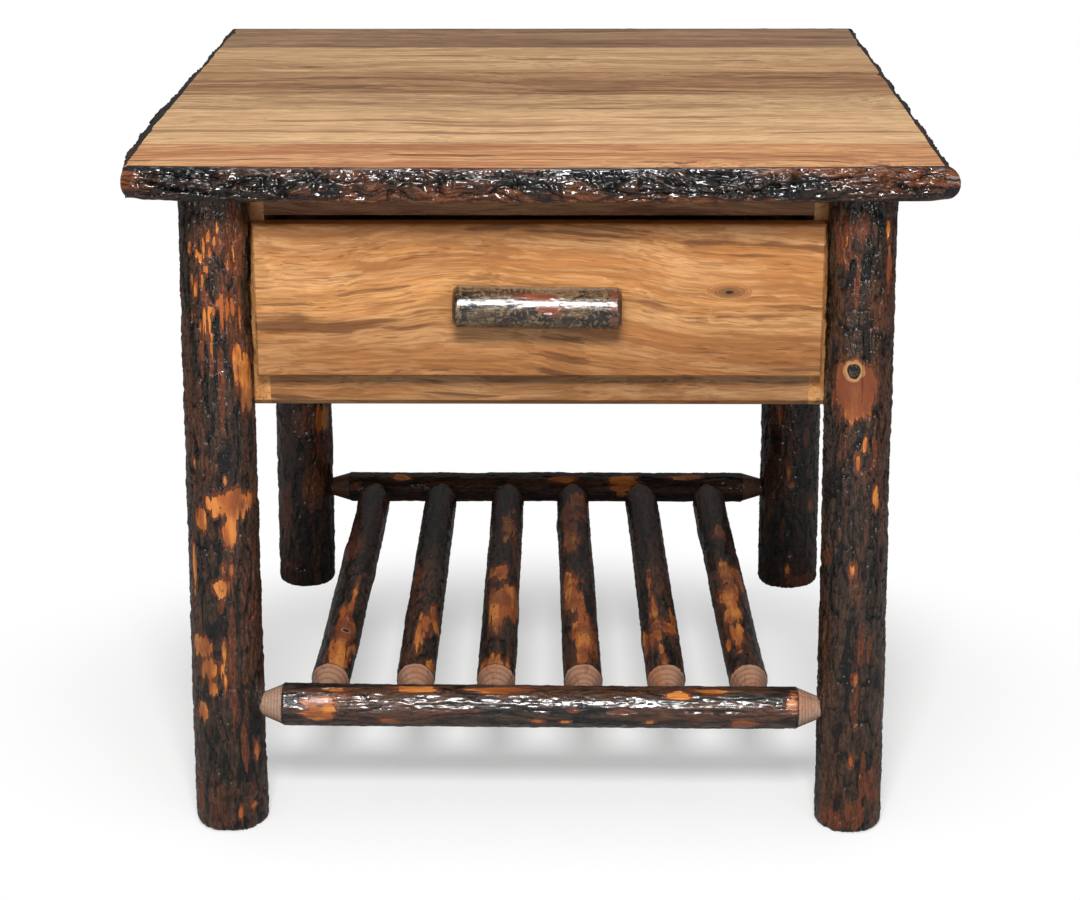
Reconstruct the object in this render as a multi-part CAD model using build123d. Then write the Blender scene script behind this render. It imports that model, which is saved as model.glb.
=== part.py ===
from build123d import *
import math
import os

# Rustic hickory end table: a boarded top with a bark edging, four log legs, a case with one drawer
# on ball-bearing slides, and a lower shelf of log spindles between two log stretchers.
# Millimetres. +X to the right, +Y to the back, +Z up. The origin is on the floor under the centre.

# ---- driving dimensions ----
HEIGHT = 607.0
TOP_THICK = 26.0
FIELD_HALF_X = 328.5
FIELD_FRONT_CORNER_Y = -338.5
FIELD_FRONT_MIDDLE_Y = -346.5
FIELD_BACK_Y = 346.5
BOARD_JOINTS_Y = (-254.0, -104.0, -34.0, 86.0, 181.0, 226.0)
EDGING_DEPTH = 10.0
EDGING_HEIGHT = 28.5
# blind steel pins hold the edging: where they stand along each side, and how deep under its round face they end
EDGING_PINS = {
    "left": (-243.0, -139.0, 6.0, 173.0, 289.0), "right": (-277.0, -139.0, 28.0, 123.0, 208.0),
    "front": (-263.0, -163.0, 26.0, 101.0, 263.0), "back": (-263.0, -151.0, 0.0, 113.0, 235.0),
}
EDGING_PIN_SET = 5.5
# in front of LEFT_TAPER_Y the boards' left edge runs inwards, by LEFT_TAPER at the front corner
LEFT_TAPER = 3.5
LEFT_TAPER_Y = -200.0
# the bark is pared off at the front left corner, from PARED_Y forwards, until it ends at PARED_X
PARED_X = -326.5
PARED_Y = -280.0

# legs, case, drawer and shelf stand this far to the right of the top's middle
BASE_SHIFT_X = 4.5

LEG_Y = 281.7
LEG_FOOT_ROUND = 4.0
# foot x, top x, foot radius, top radius, sign of y
LEGS = {
    "leg_front_left": (-275.5, -267.9, 32.6, 29.8, -1),
    "leg_front_right": (274.6, 266.2, 30.6, 28.2, -1),
    "leg_back_left": (-268.6, -261.0, 31.5, 30.0, 1),
    "leg_back_right": (270.5, 264.5, 33.0, 31.6, 1),
}

CASE_HALF_X = 247.0
CASE_HALF_Y = 272.0
CASE_BOTTOM_Z = 385.0
PANEL_THICK = 19.0
RAIL_THICK = 19.0
TOP_RAIL_HEIGHT = 30.0
BOTTOM_RAIL_HEIGHT = 41.0
CASE_CHAMFER = 5.0
BACK_THICK = 12.0
BACK_INSET = 16.0
CLEAT = 20.0

DRAWER_FRONT_HALF_X = 236.5
DRAWER_FRONT_Z = (416.0, 547.0)
DRAWER_FRONT_THICK = 16.0
DRAWER_FRONT_GAP = 0.5
BOX_Z = (436.0, 536.0)
BOX_DEPTH = 460.0
BOX_THICK = 12.0
BOX_BOTTOM_Z = (446.0, 452.0)
BOX_GROOVE = 5.0

SLIDE_LENGTH = 450.0
SLIDE_SETBACK = 2.5
SLIDE_WIDTH = 12.7
SLIDE_SHEET = 1.2
SLIDE_BALL_RADIUS = 1.8
CAGE_LENGTH = 150.0
CAGE_FRONT_Y = -150.0
CAGE_SHEET = 0.8
BALLS_PER_ROW = 7

HANDLE_CENTRE_X = -1.0
HANDLE_Z = 480.5
HANDLE_LENGTH = 139.0
HANDLE_RADIUS = 17.35
HANDLE_FLAT = 1.55
HANDLE_TILT = 0.8
HANDLE_BEVEL = 5.0

STRETCHER_RADIUS = {"front": 18.4, "back": 16.0}
STRETCHER_Z = {"front": 110.0, "back": 109.4}
STRETCHER_CONE = 20.0
STRETCHER_TENON_RADIUS = 9.5
STRETCHER_TENON_END_X = {"front": 263.0, "back": 256.0}
STRETCHER_SHOULDER_X = {"front": 246.0, "back": 237.0}

SPINDLE_RADIUS = 17.4
SPINDLE_CONE = 31.0
SPINDLE_TENON_RADIUS = 7.0
SPINDLE_TENON_END = 8.0
SPINDLE_SHOULDER_GAP = 1.5
# x at the front stretcher, x at the back stretcher
SPINDLES_X = (
    (-191.2, -187.6), (-112.3, -113.9), (-40.6, -41.6),
    (39.6, 29.4), (113.7, 103.1), (189.3, 177.4),
)

# ---- values worked out from them ----
TOP_UNDER_Z = HEIGHT - TOP_THICK
PANEL_INNER_X = CASE_HALF_X - PANEL_THICK
RAIL_BACK_Y = -CASE_HALF_Y + RAIL_THICK
BACK_Y = CASE_HALF_Y - BACK_INSET
DRAWER_BACK_OF_FRONT_Y = -CASE_HALF_Y - DRAWER_FRONT_GAP
DRAWER_FACE_Y = DRAWER_BACK_OF_FRONT_Y - DRAWER_FRONT_THICK
BOX_HALF_X = PANEL_INNER_X - SLIDE_WIDTH
BOX_INNER_X = BOX_HALF_X - BOX_THICK
BOX_FRONT_INNER_Y = DRAWER_BACK_OF_FRONT_Y + BOX_THICK
BOX_END_Y = DRAWER_BACK_OF_FRONT_Y + BOX_DEPTH
BOX_MIDDLE_Z = sum(BOX_Z) / 2
SLIDE_START_Y = -CASE_HALF_Y + SLIDE_SETBACK
SLIDE_Y = (SLIDE_START_Y, SLIDE_START_Y + SLIDE_LENGTH)
EDGING_MIDDLE_Z = HEIGHT - EDGING_HEIGHT / 2

OVERRUN = 20.0

os.makedirs("parts", exist_ok=True)


# ---- shape helpers ----
def block(x, y, z):
    """Box between a low and a high value along each axis."""
    middle = [(low + high) / 2 for low, high in (x, y, z)]
    return Pos(*middle) * Box(*[high - low for low, high in (x, y, z)])


def both(x, side):
    """The pair of x values mirrored to the side given by a sign, low value first."""
    return tuple(sorted((x[0] * side, x[1] * side)))


def turned(profile, start, end):
    """Solid turned about the line from start to end; profile is (distance from start, radius)."""
    outline = [(0, profile[0][0])] + [(radius, along) for along, radius in profile] + [(0, profile[-1][0])]
    solid = revolve(make_face(Plane.XZ * Polyline(*outline, close=True)), Axis.Z)
    return Plane(origin=start, z_dir=Vector(*end) - Vector(*start)) * solid


def rod(start, end, radius):
    """Plain round bar between two points."""
    length = (Vector(*end) - Vector(*start)).length
    return Plane(origin=start, z_dir=Vector(*end) - Vector(*start)) * Cylinder(
        radius, length, align=(Align.CENTER, Align.CENTER, Align.MIN))


def screw(head_at, tip_at, radius, head_radius, head_thick):
    """Pan-head screw: the head sits outside head_at, the shank runs to tip_at."""
    direction = (Vector(*tip_at) - Vector(*head_at)).normalized()
    head_top = tuple(Vector(*head_at) - direction * head_thick)
    length = (Vector(*tip_at) - Vector(*head_at)).length + head_thick
    profile = [(0, head_radius * 0.7), (head_thick * 0.5, head_radius), (head_thick, head_radius),
               (head_thick, radius), (length - 2 * radius, radius), (length, radius * 0.15)]
    return turned(profile, head_top, tip_at)


def group(solids):
    """Separate solids kept in one node."""
    return Compound(children=list(solids))


def bored(part, fasteners):
    """The part with a hole for each fastener that reaches it."""
    box = part.bounding_box()
    for tool in fasteners:
        other = tool.bounding_box()
        apart = (other.min.X > box.max.X or other.max.X < box.min.X
                 or other.min.Y > box.max.Y or other.max.Y < box.min.Y
                 or other.min.Z > box.max.Z or other.max.Z < box.min.Z)
        if not apart:
            part = part - tool
    return part


# ---- top ----
FRONT_RISE = FIELD_FRONT_CORNER_Y - FIELD_FRONT_MIDDLE_Y
FRONT_RADIUS = (FIELD_HALF_X ** 2 + FRONT_RISE ** 2) / (2 * FRONT_RISE)
FRONT_CENTRE_Y = FIELD_FRONT_MIDDLE_Y + FRONT_RADIUS


def top_boards():
    """Edge-glued boards, the first with a gently bowed front edge."""
    edges = (FIELD_FRONT_MIDDLE_Y,) + BOARD_JOINTS_Y + (FIELD_BACK_Y,)
    boards = []
    for front, back in zip(edges, edges[1:]):
        boards.append(block((-FIELD_HALF_X, FIELD_HALF_X), (front, back), (TOP_UNDER_Z, HEIGHT)))
    bow = Pos(0, FRONT_CENTRE_Y, HEIGHT - TOP_THICK / 2) * Cylinder(FRONT_RADIUS, TOP_THICK + 2)
    boards[0] = boards[0] & bow
    return [board - left_wedge() for board in boards]


def upright_prism(corners):
    """Prism over a plan outline, taller than the top."""
    outline = make_face(Polyline(*corners, close=True))
    return Pos(0, 0, HEIGHT - 2 * EDGING_HEIGHT) * extrude(outline, 3 * EDGING_HEIGHT)


def left_wedge():
    """The sliver between the boards' tapered left edge and a straight one."""
    slope = LEFT_TAPER / (LEFT_TAPER_Y - FIELD_FRONT_CORNER_Y)
    front = FIELD_FRONT_CORNER_Y - OVERRUN
    inner_x = -FIELD_HALF_X + slope * (LEFT_TAPER_Y - front)
    return upright_prism([(-FIELD_HALF_X, LEFT_TAPER_Y), (inner_x, front), (-FIELD_HALF_X, front)])


def pared_corner():
    """What is cut off the bark at the front left corner."""
    outer_x = -FIELD_HALF_X - EDGING_DEPTH
    front, far_x = FIELD_FRONT_MIDDLE_Y - OVERRUN, outer_x - OVERRUN
    return upright_prism([(outer_x, PARED_Y), (PARED_X, FIELD_FRONT_CORNER_Y), (PARED_X, front),
                          (far_x, front), (far_x, PARED_Y)])


def half_round():
    """Section of the edging: flat against the boards at x = 0, round towards +x."""
    low, high = HEIGHT - EDGING_HEIGHT, HEIGHT
    arc = ThreePointArc((0, low), (EDGING_DEPTH, EDGING_MIDDLE_Z), (0, high))
    return make_face([arc, Line((0, high), (0, low))])


def edgings():
    """Four bark-covered half-round slabs, mitred at the corners."""
    x, front, back = FIELD_HALF_X, FIELD_FRONT_CORNER_Y, FIELD_BACK_Y
    far_x, far_front, far_back = x + OVERRUN, front - OVERRUN, back + OVERRUN
    span = back - front + 2 * OVERRUN
    side_bar = extrude(Plane(origin=(0, 0, 0), x_dir=(1, 0, 0), z_dir=(0, -1, 0)) * half_round(), span)
    right = Pos(x, far_back, 0) * side_bar
    right = right & upright_prism([(x, front), (x, back), (far_x, far_back), (far_x, far_front)])
    filler = block((-x, -x + 2 * LEFT_TAPER), (front, LEFT_TAPER_Y), (HEIGHT - EDGING_HEIGHT, HEIGHT))
    left = mirror(right, Plane.YZ) + (filler & left_wedge()) - pared_corner()
    cross_span = 2 * far_x
    across = Plane(origin=(0, 0, 0), x_dir=(0, 1, 0), z_dir=(1, 0, 0))
    cross_bar = extrude(across * half_round(), cross_span)
    rear = Pos(-far_x, back, 0) * cross_bar
    rear = rear & upright_prism([(-x, back), (x, back), (far_x, far_back), (-far_x, far_back)])
    section = Plane(origin=(0, FIELD_FRONT_MIDDLE_Y, 0), x_dir=(0, -1, 0), z_dir=(-1, 0, 0)) * half_round()
    half_angle = math.degrees(math.asin(far_x / FRONT_RADIUS))
    axis = Axis((0, FRONT_CENTRE_Y, 0), (0, 0, 1))
    bow = revolve(section.rotate(axis, -half_angle), axis, 2 * half_angle)
    front_slab = bow & upright_prism([(-x, front), (x, front), (far_x, far_front), (-far_x, far_front)])
    front_slab = front_slab - pared_corner()
    return {"edging_front": front_slab, "edging_back": rear, "edging_left": left, "edging_right": right}


def edging_brads():
    """Steel brads from inside the edging into the boards, five to a side, hidden under the bark."""
    length, inset = 25.0, EDGING_DEPTH - EDGING_PIN_SET
    brads = []
    for name, side in (("left", -1), ("right", 1)):
        outer = side * (FIELD_HALF_X + inset)
        for y in EDGING_PINS[name]:
            brads.append(rod((outer, y, EDGING_MIDDLE_Z), (outer - side * length, y, EDGING_MIDDLE_Z), 0.8))
    for x in EDGING_PINS["back"]:
        outer = FIELD_BACK_Y + inset
        brads.append(rod((x, outer, EDGING_MIDDLE_Z), (x, outer - length, EDGING_MIDDLE_Z), 0.8))
    for x in EDGING_PINS["front"]:
        outer = FRONT_CENTRE_Y - math.sqrt(FRONT_RADIUS ** 2 - x ** 2) - inset
        brads.append(rod((x, outer, EDGING_MIDDLE_Z), (x, outer + length, EDGING_MIDDLE_Z), 0.8))
    return brads


# ---- legs, stretchers and spindles ----
def leg_axis_x(name, z):
    """x of a leg's axis at a height."""
    foot_x, top_x = LEGS[name][:2]
    return foot_x + (top_x - foot_x) * z / TOP_UNDER_Z


def leg(name):
    """Leaning tapered log, flat at both ends, with a rounded foot and a notch for the case."""
    foot_x, top_x, foot_radius, top_radius, side = LEGS[name]
    y = side * LEG_Y
    slope = (top_x - foot_x) / TOP_UNDER_Z
    taper = (top_radius - foot_radius) / TOP_UNDER_Z
    length = TOP_UNDER_Z + 2 * OVERRUN
    start = (foot_x - slope * OVERRUN, y, -OVERRUN)
    end = (top_x + slope * OVERRUN, y, TOP_UNDER_Z + OVERRUN)
    profile = [(0, foot_radius - taper * OVERRUN), (length, top_radius + taper * OVERRUN)]
    reach = 2 * foot_radius
    log = turned(profile, start, end) & block(
        (foot_x - reach, foot_x + reach), (y - reach, y + reach), (0, TOP_UNDER_Z))
    log = fillet(log.edges().group_by(Axis.Z)[0], LEG_FOOT_ROUND)
    return log - block((-CASE_HALF_X, CASE_HALF_X), (-CASE_HALF_Y, CASE_HALF_Y), (CASE_BOTTOM_Z, HEIGHT))


def stretcher(place):
    """Log along X with pencil-pointed ends and round tenons that enter the legs."""
    y = -LEG_Y if place == "front" else LEG_Y
    z, radius = STRETCHER_Z[place], STRETCHER_RADIUS[place]
    end_x, shoulder_x = STRETCHER_TENON_END_X[place], STRETCHER_SHOULDER_X[place]
    tenon, length = end_x - shoulder_x, 2 * end_x
    profile = [(0, STRETCHER_TENON_RADIUS), (tenon, STRETCHER_TENON_RADIUS),
               (tenon + STRETCHER_CONE, radius),
               (length - tenon - STRETCHER_CONE, radius),
               (length - tenon, STRETCHER_TENON_RADIUS), (length, STRETCHER_TENON_RADIUS)]
    return turned(profile, (-end_x, y, z), (end_x, y, z))


def spindle_ends(front_x, back_x):
    """Centres of a spindle's two tenon ends, inside the stretchers."""
    front = (front_x, -LEG_Y + SPINDLE_TENON_END, STRETCHER_Z["front"])
    back = (back_x, LEG_Y - SPINDLE_TENON_END, STRETCHER_Z["back"])
    return front, back


def spindle(front_x, back_x):
    """Shelf log along Y, turned down to a tenon at each end."""
    front, back = spindle_ends(front_x, back_x)
    length = (Vector(*back) - Vector(*front)).length
    tenon = STRETCHER_RADIUS["front"] - SPINDLE_TENON_END + SPINDLE_SHOULDER_GAP
    profile = [(0, SPINDLE_TENON_RADIUS), (tenon, SPINDLE_TENON_RADIUS),
               (tenon + SPINDLE_CONE, SPINDLE_RADIUS),
               (length - tenon - SPINDLE_CONE, SPINDLE_RADIUS),
               (length - tenon, SPINDLE_TENON_RADIUS), (length, SPINDLE_TENON_RADIUS)]
    return turned(profile, front, back)


def tenon_brads():
    """Steel brads, set under the bark, that pin each tenon in its leg or stretcher."""
    set_in_leg, set_in_stretcher = 4.5, 2.0
    brads = []
    for name, (foot_x, _, foot_radius, top_radius, side) in LEGS.items():
        place = "front" if side < 0 else "back"
        z = STRETCHER_Z[place]
        x = math.copysign(STRETCHER_TENON_END_X[place] - 6, foot_x)
        radius = foot_radius + (top_radius - foot_radius) * z / TOP_UNDER_Z
        face = math.sqrt(radius ** 2 - (x - leg_axis_x(name, z)) ** 2)
        brads.append(rod((x, side * (LEG_Y + face - set_in_leg), z), (x, side * (LEG_Y - 4), z), 1.0))
    inward = SPINDLE_TENON_END + 4
    for front_x, back_x in SPINDLES_X:
        for x, side, place in ((front_x, -1, "front"), (back_x, 1, "back")):
            y, z = side * (LEG_Y - inward), STRETCHER_Z[place]
            under = math.sqrt(STRETCHER_RADIUS[place] ** 2 - inward ** 2) - set_in_stretcher
            brads.append(rod((x, y, z - under), (x, y, z + 4), 1.0))
    return brads


def leg_dowels():
    """Wooden dowels that locate each leg in the underside of the top."""
    into_leg, into_top = 24.0, 16.0
    return [rod((leg_axis_x(name, TOP_UNDER_Z), values[4] * (LEG_Y + 8), TOP_UNDER_Z - into_leg),
                (leg_axis_x(name, TOP_UNDER_Z), values[4] * (LEG_Y + 8), TOP_UNDER_Z + into_top), 6.0)
            for name, values in LEGS.items()]


# ---- case ----
LAG_Z = (444.0, 530.0)
LAG_FRONT_Y = -262.0
LAG_BACK_Y = 264.0
LAG_DEPTH = 52.0


def case_pieces():
    """Side panels, back, two front rails and the cleats that hold the top down."""
    pieces = {}
    for name, side in (("left", -1), ("right", 1)):
        panel = block(both((PANEL_INNER_X, CASE_HALF_X), side), (-CASE_HALF_Y, CASE_HALF_Y),
                      (CASE_BOTTOM_Z, TOP_UNDER_Z))
        pieces[f"case_side_{name}"] = eased_front(panel)
        pieces[f"top_cleat_{name}"] = block(both((PANEL_INNER_X - CLEAT, PANEL_INNER_X), side),
                                            (RAIL_BACK_Y, BACK_Y - BACK_THICK),
                                            (TOP_UNDER_Z - CLEAT, TOP_UNDER_Z))
    across = (-PANEL_INNER_X, PANEL_INNER_X)
    pieces["case_back"] = block(across, (BACK_Y - BACK_THICK, BACK_Y), (CASE_BOTTOM_Z, TOP_UNDER_Z))
    pieces["rail_top"] = block(across, (-CASE_HALF_Y, RAIL_BACK_Y),
                               (TOP_UNDER_Z - TOP_RAIL_HEIGHT, TOP_UNDER_Z))
    pieces["rail_bottom"] = eased_front(block(across, (-CASE_HALF_Y, RAIL_BACK_Y),
                                              (CASE_BOTTOM_Z, CASE_BOTTOM_Z + BOTTOM_RAIL_HEIGHT)))
    return pieces


def eased_front(piece):
    """The piece with its lower front edge chamfered."""
    lowest = piece.edges().filter_by(Axis.X).group_by(Axis.Z)[0]
    return chamfer(lowest.sort_by(Axis.Y)[0], CASE_CHAMFER)


def lag_screws():
    """Two screws per leg, from inside the case through the side panel."""
    return [screw((side * PANEL_INNER_X, y, z), (side * (PANEL_INNER_X + LAG_DEPTH), y, z), 3.0, 5.0, 3.5)
            for side in (-1, 1) for y in (LAG_FRONT_Y, LAG_BACK_Y) for z in LAG_Z]


def case_dowels():
    """Wooden dowels between the side panels and the rails and back."""
    rail_y, back_y = -CASE_HALF_Y + RAIL_THICK / 2, BACK_Y - BACK_THICK / 2
    places = [(rail_y, z) for z in (398.0, 416.0, 559.0, 573.0)]
    places += [(back_y, z) for z in (410.0, 485.0, 560.0)]
    return [rod((side * (PANEL_INNER_X - 15), y, z), (side * (PANEL_INNER_X + 12), y, z), 3.5)
            for side in (-1, 1) for y, z in places]


def cleat_screws():
    """Screws from each cleat into its side panel."""
    inner_x, z = PANEL_INNER_X - CLEAT, TOP_UNDER_Z - CLEAT / 2
    return [screw((side * inner_x, y, z), (side * (inner_x + 34), y, z), 2.0, 4.0, 2.2)
            for side in (-1, 1) for y in (-150.0, 0.0, 150.0)]


def top_screws():
    """Screws up through the cleats into the top boards."""
    x, z = PANEL_INNER_X - CLEAT / 2, TOP_UNDER_Z - CLEAT
    return [screw((side * x, y, z), (side * x, y, z + 37), 2.2, 4.2, 2.2)
            for side in (-1, 1) for y in (-200.0, -70.0, 30.0, 130.0, 205.0, 236.0)]


# ---- drawer ----
def drawer_box():
    """Front, sides and back of the drawer box, grooved for its bottom."""
    inner, outer = BOX_INNER_X, BOX_HALF_X
    back_y = (BOX_END_Y - BOX_THICK, BOX_END_Y)
    bottom = block((-inner - BOX_GROOVE, inner + BOX_GROOVE),
                   (BOX_FRONT_INNER_Y - BOX_GROOVE, back_y[0] + BOX_GROOVE), BOX_BOTTOM_Z)
    walls = {
        "drawer_box_front": block((-inner, inner), (DRAWER_BACK_OF_FRONT_Y, BOX_FRONT_INNER_Y), BOX_Z),
        "drawer_box_back": block((-inner, inner), back_y, BOX_Z),
        "drawer_side_left": block((-outer, -inner), (DRAWER_BACK_OF_FRONT_Y, BOX_END_Y), BOX_Z),
        "drawer_side_right": block((inner, outer), (DRAWER_BACK_OF_FRONT_Y, BOX_END_Y), BOX_Z),
    }
    pieces = {name: wall - bottom for name, wall in walls.items()}
    pieces["drawer_bottom"] = bottom
    return pieces


def drawer_front():
    """Overlay front with slightly eased face edges."""
    board = block((-DRAWER_FRONT_HALF_X, DRAWER_FRONT_HALF_X), (DRAWER_FACE_Y, DRAWER_BACK_OF_FRONT_Y),
                  DRAWER_FRONT_Z)
    return chamfer(board.faces().sort_by(Axis.Y)[0].edges(), 1.5)


def handle():
    """Short log pull with bevelled ends, planed flat where it meets the drawer front."""
    y = DRAWER_FACE_Y - (HANDLE_RADIUS - HANDLE_FLAT)
    half = HANDLE_LENGTH / 2
    profile = [(0, HANDLE_RADIUS - HANDLE_BEVEL), (HANDLE_BEVEL, HANDLE_RADIUS),
               (HANDLE_LENGTH - HANDLE_BEVEL, HANDLE_RADIUS), (HANDLE_LENGTH, HANDLE_RADIUS - HANDLE_BEVEL)]
    log = turned(profile, (-half, 0, 0), (half, 0, 0))
    log = Pos(HANDLE_CENTRE_X, y, HANDLE_Z) * Rot(0, HANDLE_TILT, 0) * log
    return log - block((-HANDLE_LENGTH, HANDLE_LENGTH), (DRAWER_FACE_Y, 0), DRAWER_FRONT_Z)


def handle_screws():
    """Two long screws from inside the drawer into the handle."""
    return [screw((HANDLE_CENTRE_X + dx, BOX_FRONT_INNER_Y, HANDLE_Z),
                  (HANDLE_CENTRE_X + dx, DRAWER_FACE_Y - 16, HANDLE_Z), 2.2, 4.5, 2.4)
            for dx in (-40, 40)]


def drawer_front_screws():
    """Screws from inside the drawer box into the overlay front."""
    return [screw((x, BOX_FRONT_INNER_Y, z), (x, DRAWER_FACE_Y + 5, z), 2.0, 4.0, 2.2)
            for x in (-170.0, 170.0) for z in (462.0, 512.0)]


def drawer_box_brads():
    """Steel brads at the four corners of the drawer box."""
    corner_y = (DRAWER_BACK_OF_FRONT_Y + BOX_THICK / 2, BOX_END_Y - BOX_THICK / 2)
    return [rod((side * BOX_HALF_X, y, z), (side * (BOX_HALF_X - 26), y, z), 0.8)
            for side in (-1, 1) for y in corner_y for z in (441.0, 465.0, 505.0, 529.0)]


# ---- ball-bearing slides ----
# Each section is given by w, the distance from the side panel, and by the half height z.
CASE_MEMBER_HALF_Z = 22.6
MIDDLE_MEMBER_HALF_Z = 17.2
DRAWER_MEMBER_HALF_Z = 11.8
CASE_LIP = 3.0
MIDDLE_W = (2.4, 10.2)
DRAWER_W = (4.8, SLIDE_WIDTH)
BALL_ROW_W = {"outer": 5.2, "inner": 7.4}


def slide_block(side, w, y, z):
    """Box given by its distance from the side panel and its height from the slide's middle."""
    x = tuple(PANEL_INNER_X - value for value in w)
    height = tuple(BOX_MIDDLE_Z + value for value in z)
    return block(both(x, side), y, height)


def channel(side, w, half_z, web_w):
    """C-section member: a web at web_w and a flange at the top and bottom across w."""
    member = slide_block(side, web_w, SLIDE_Y, (-half_z, half_z))
    for sign in (-1, 1):
        flange = tuple(sorted((sign * (half_z - SLIDE_SHEET), sign * half_z)))
        member = member + slide_block(side, w, SLIDE_Y, flange)
    return member


def case_member(side):
    """Outer member, on the side panel, with lips that hold the ball rows."""
    w = (0, MIDDLE_W[1])
    member = channel(side, w, CASE_MEMBER_HALF_Z, (0, SLIDE_SHEET))
    for sign in (-1, 1):
        lip = tuple(sorted((sign * (CASE_MEMBER_HALF_Z - CASE_LIP), sign * CASE_MEMBER_HALF_Z)))
        member = member + slide_block(side, (w[1] - SLIDE_SHEET, w[1]), SLIDE_Y, lip)
    return member


def middle_member(side):
    """Middle member, which travels half as far as the drawer."""
    return channel(side, MIDDLE_W, MIDDLE_MEMBER_HALF_Z, (MIDDLE_W[0], MIDDLE_W[0] + SLIDE_SHEET))


def drawer_member(side):
    """Inner member, on the drawer side."""
    return channel(side, DRAWER_W, DRAWER_MEMBER_HALF_Z, (DRAWER_W[1] - SLIDE_SHEET, DRAWER_W[1]))


def ball_cage(side, row):
    """Two perforated strips with a row of steel balls each, above and below the slide's middle."""
    inside, outside = {"outer": (MIDDLE_MEMBER_HALF_Z, CASE_MEMBER_HALF_Z),
                       "inner": (DRAWER_MEMBER_HALF_Z, MIDDLE_MEMBER_HALF_Z)}[row]
    row_z = (inside + outside - SLIDE_SHEET) / 2
    w = BALL_ROW_W[row]
    solids = []
    for sign in (-1, 1):
        middle = sign * row_z
        strip = slide_block(side, (w - 2.4, w + 2.4), (CAGE_FRONT_Y, CAGE_FRONT_Y + CAGE_LENGTH),
                            (middle - CAGE_SHEET / 2, middle + CAGE_SHEET / 2))
        for index in range(BALLS_PER_ROW):
            y = CAGE_FRONT_Y + CAGE_LENGTH * (index + 0.5) / BALLS_PER_ROW
            centre = Pos(side * (PANEL_INNER_X - w), y, BOX_MIDDLE_Z + middle)
            strip = strip - centre * Cylinder(SLIDE_BALL_RADIUS + 0.2, 4 * CAGE_SHEET)
            solids.append(centre * Sphere(SLIDE_BALL_RADIUS))
        solids.append(strip)
    return solids


def slide_case_screws():
    """Flat-head screws that hold the outer members on the side panels."""
    web = PANEL_INNER_X - SLIDE_SHEET
    return [screw((side * web, y, BOX_MIDDLE_Z), (side * (web + 15), y, BOX_MIDDLE_Z), 1.9, 3.6, 0.8)
            for side in (-1, 1) for y in (-230.0, -60.0, 140.0)]


def slide_drawer_screws():
    """Flat-head screws that hold the inner members on the drawer sides."""
    web = BOX_HALF_X + SLIDE_SHEET
    return [screw((side * web, y, BOX_MIDDLE_Z), (side * (web - 11), y, BOX_MIDDLE_Z), 1.9, 3.6, 0.8)
            for side in (-1, 1) for y in (-230.0, -60.0, 140.0)]


# ---- assembly ----
def shifted(pieces):
    """Pieces of the base, moved to where it stands under the top."""
    return {name: Pos(BASE_SHIFT_X, 0, 0) * piece for name, piece in pieces.items()}


def base_pieces():
    """Legs, shelf, case, drawer and the slide members that are screwed on."""
    stretchers = {f"stretcher_{place}": stretcher(place) for place in ("front", "back")}
    spindles = {f"spindle_{i}": spindle(*pair) for i, pair in enumerate(SPINDLES_X, 1)}
    pieces = {name: bored(leg(name), stretchers.values()) for name in LEGS}
    pieces.update({name: bored(log, spindles.values()) for name, log in stretchers.items()})
    pieces.update(spindles)
    pieces.update(case_pieces())
    pieces["drawer_front"] = drawer_front()
    pieces.update(drawer_box())
    pieces["handle"] = handle()
    for name, side in (("left", -1), ("right", 1)):
        pieces[f"slide_case_{name}"] = case_member(side)
        pieces[f"slide_drawer_{name}"] = drawer_member(side)
    return shifted(pieces)


def base_fasteners():
    """Groups of like fasteners that stand with the base."""
    groups = {
        "tenon_brads": tenon_brads(), "leg_dowels": leg_dowels(), "lag_screws": lag_screws(),
        "case_dowels": case_dowels(), "cleat_screws": cleat_screws(), "top_screws": top_screws(),
        "handle_screws": handle_screws(), "drawer_front_screws": drawer_front_screws(),
        "drawer_box_brads": drawer_box_brads(), "slide_case_screws": slide_case_screws(),
        "slide_drawer_screws": slide_drawer_screws(),
    }
    return {name: [Pos(BASE_SHIFT_X, 0, 0) * solid for solid in solids] for name, solids in groups.items()}


def running_pieces():
    """Middle slide members and ball cages, which nothing is screwed through."""
    pieces = {}
    for name, side in (("left", -1), ("right", 1)):
        pieces[f"slide_middle_{name}"] = Pos(BASE_SHIFT_X, 0, 0) * middle_member(side)
        for row in ("outer", "inner"):
            balls = [Pos(BASE_SHIFT_X, 0, 0) * solid for solid in ball_cage(side, row)]
            pieces[f"ball_cage_{row}_{name}"] = group(balls)
    return pieces


def build():
    """Every piece by node name."""
    fasteners = {"edging_brads": edging_brads(), **base_fasteners()}
    bores = [solid for solids in fasteners.values() for solid in solids]
    pieces = {f"top_board_{i}": board for i, board in enumerate(top_boards(), 1)}
    pieces.update(edgings())
    pieces.update(base_pieces())
    pieces = {name: bored(piece, bores) for name, piece in pieces.items()}
    pieces.update(running_pieces())
    pieces.update({name: group(solids) for name, solids in fasteners.items()})
    return pieces


for node, shape in build().items():
    export_step(shape, f"parts/{node}.step")
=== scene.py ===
import math

import bmesh
import bpy
import numpy as np
from mathutils import Matrix, Vector


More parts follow.
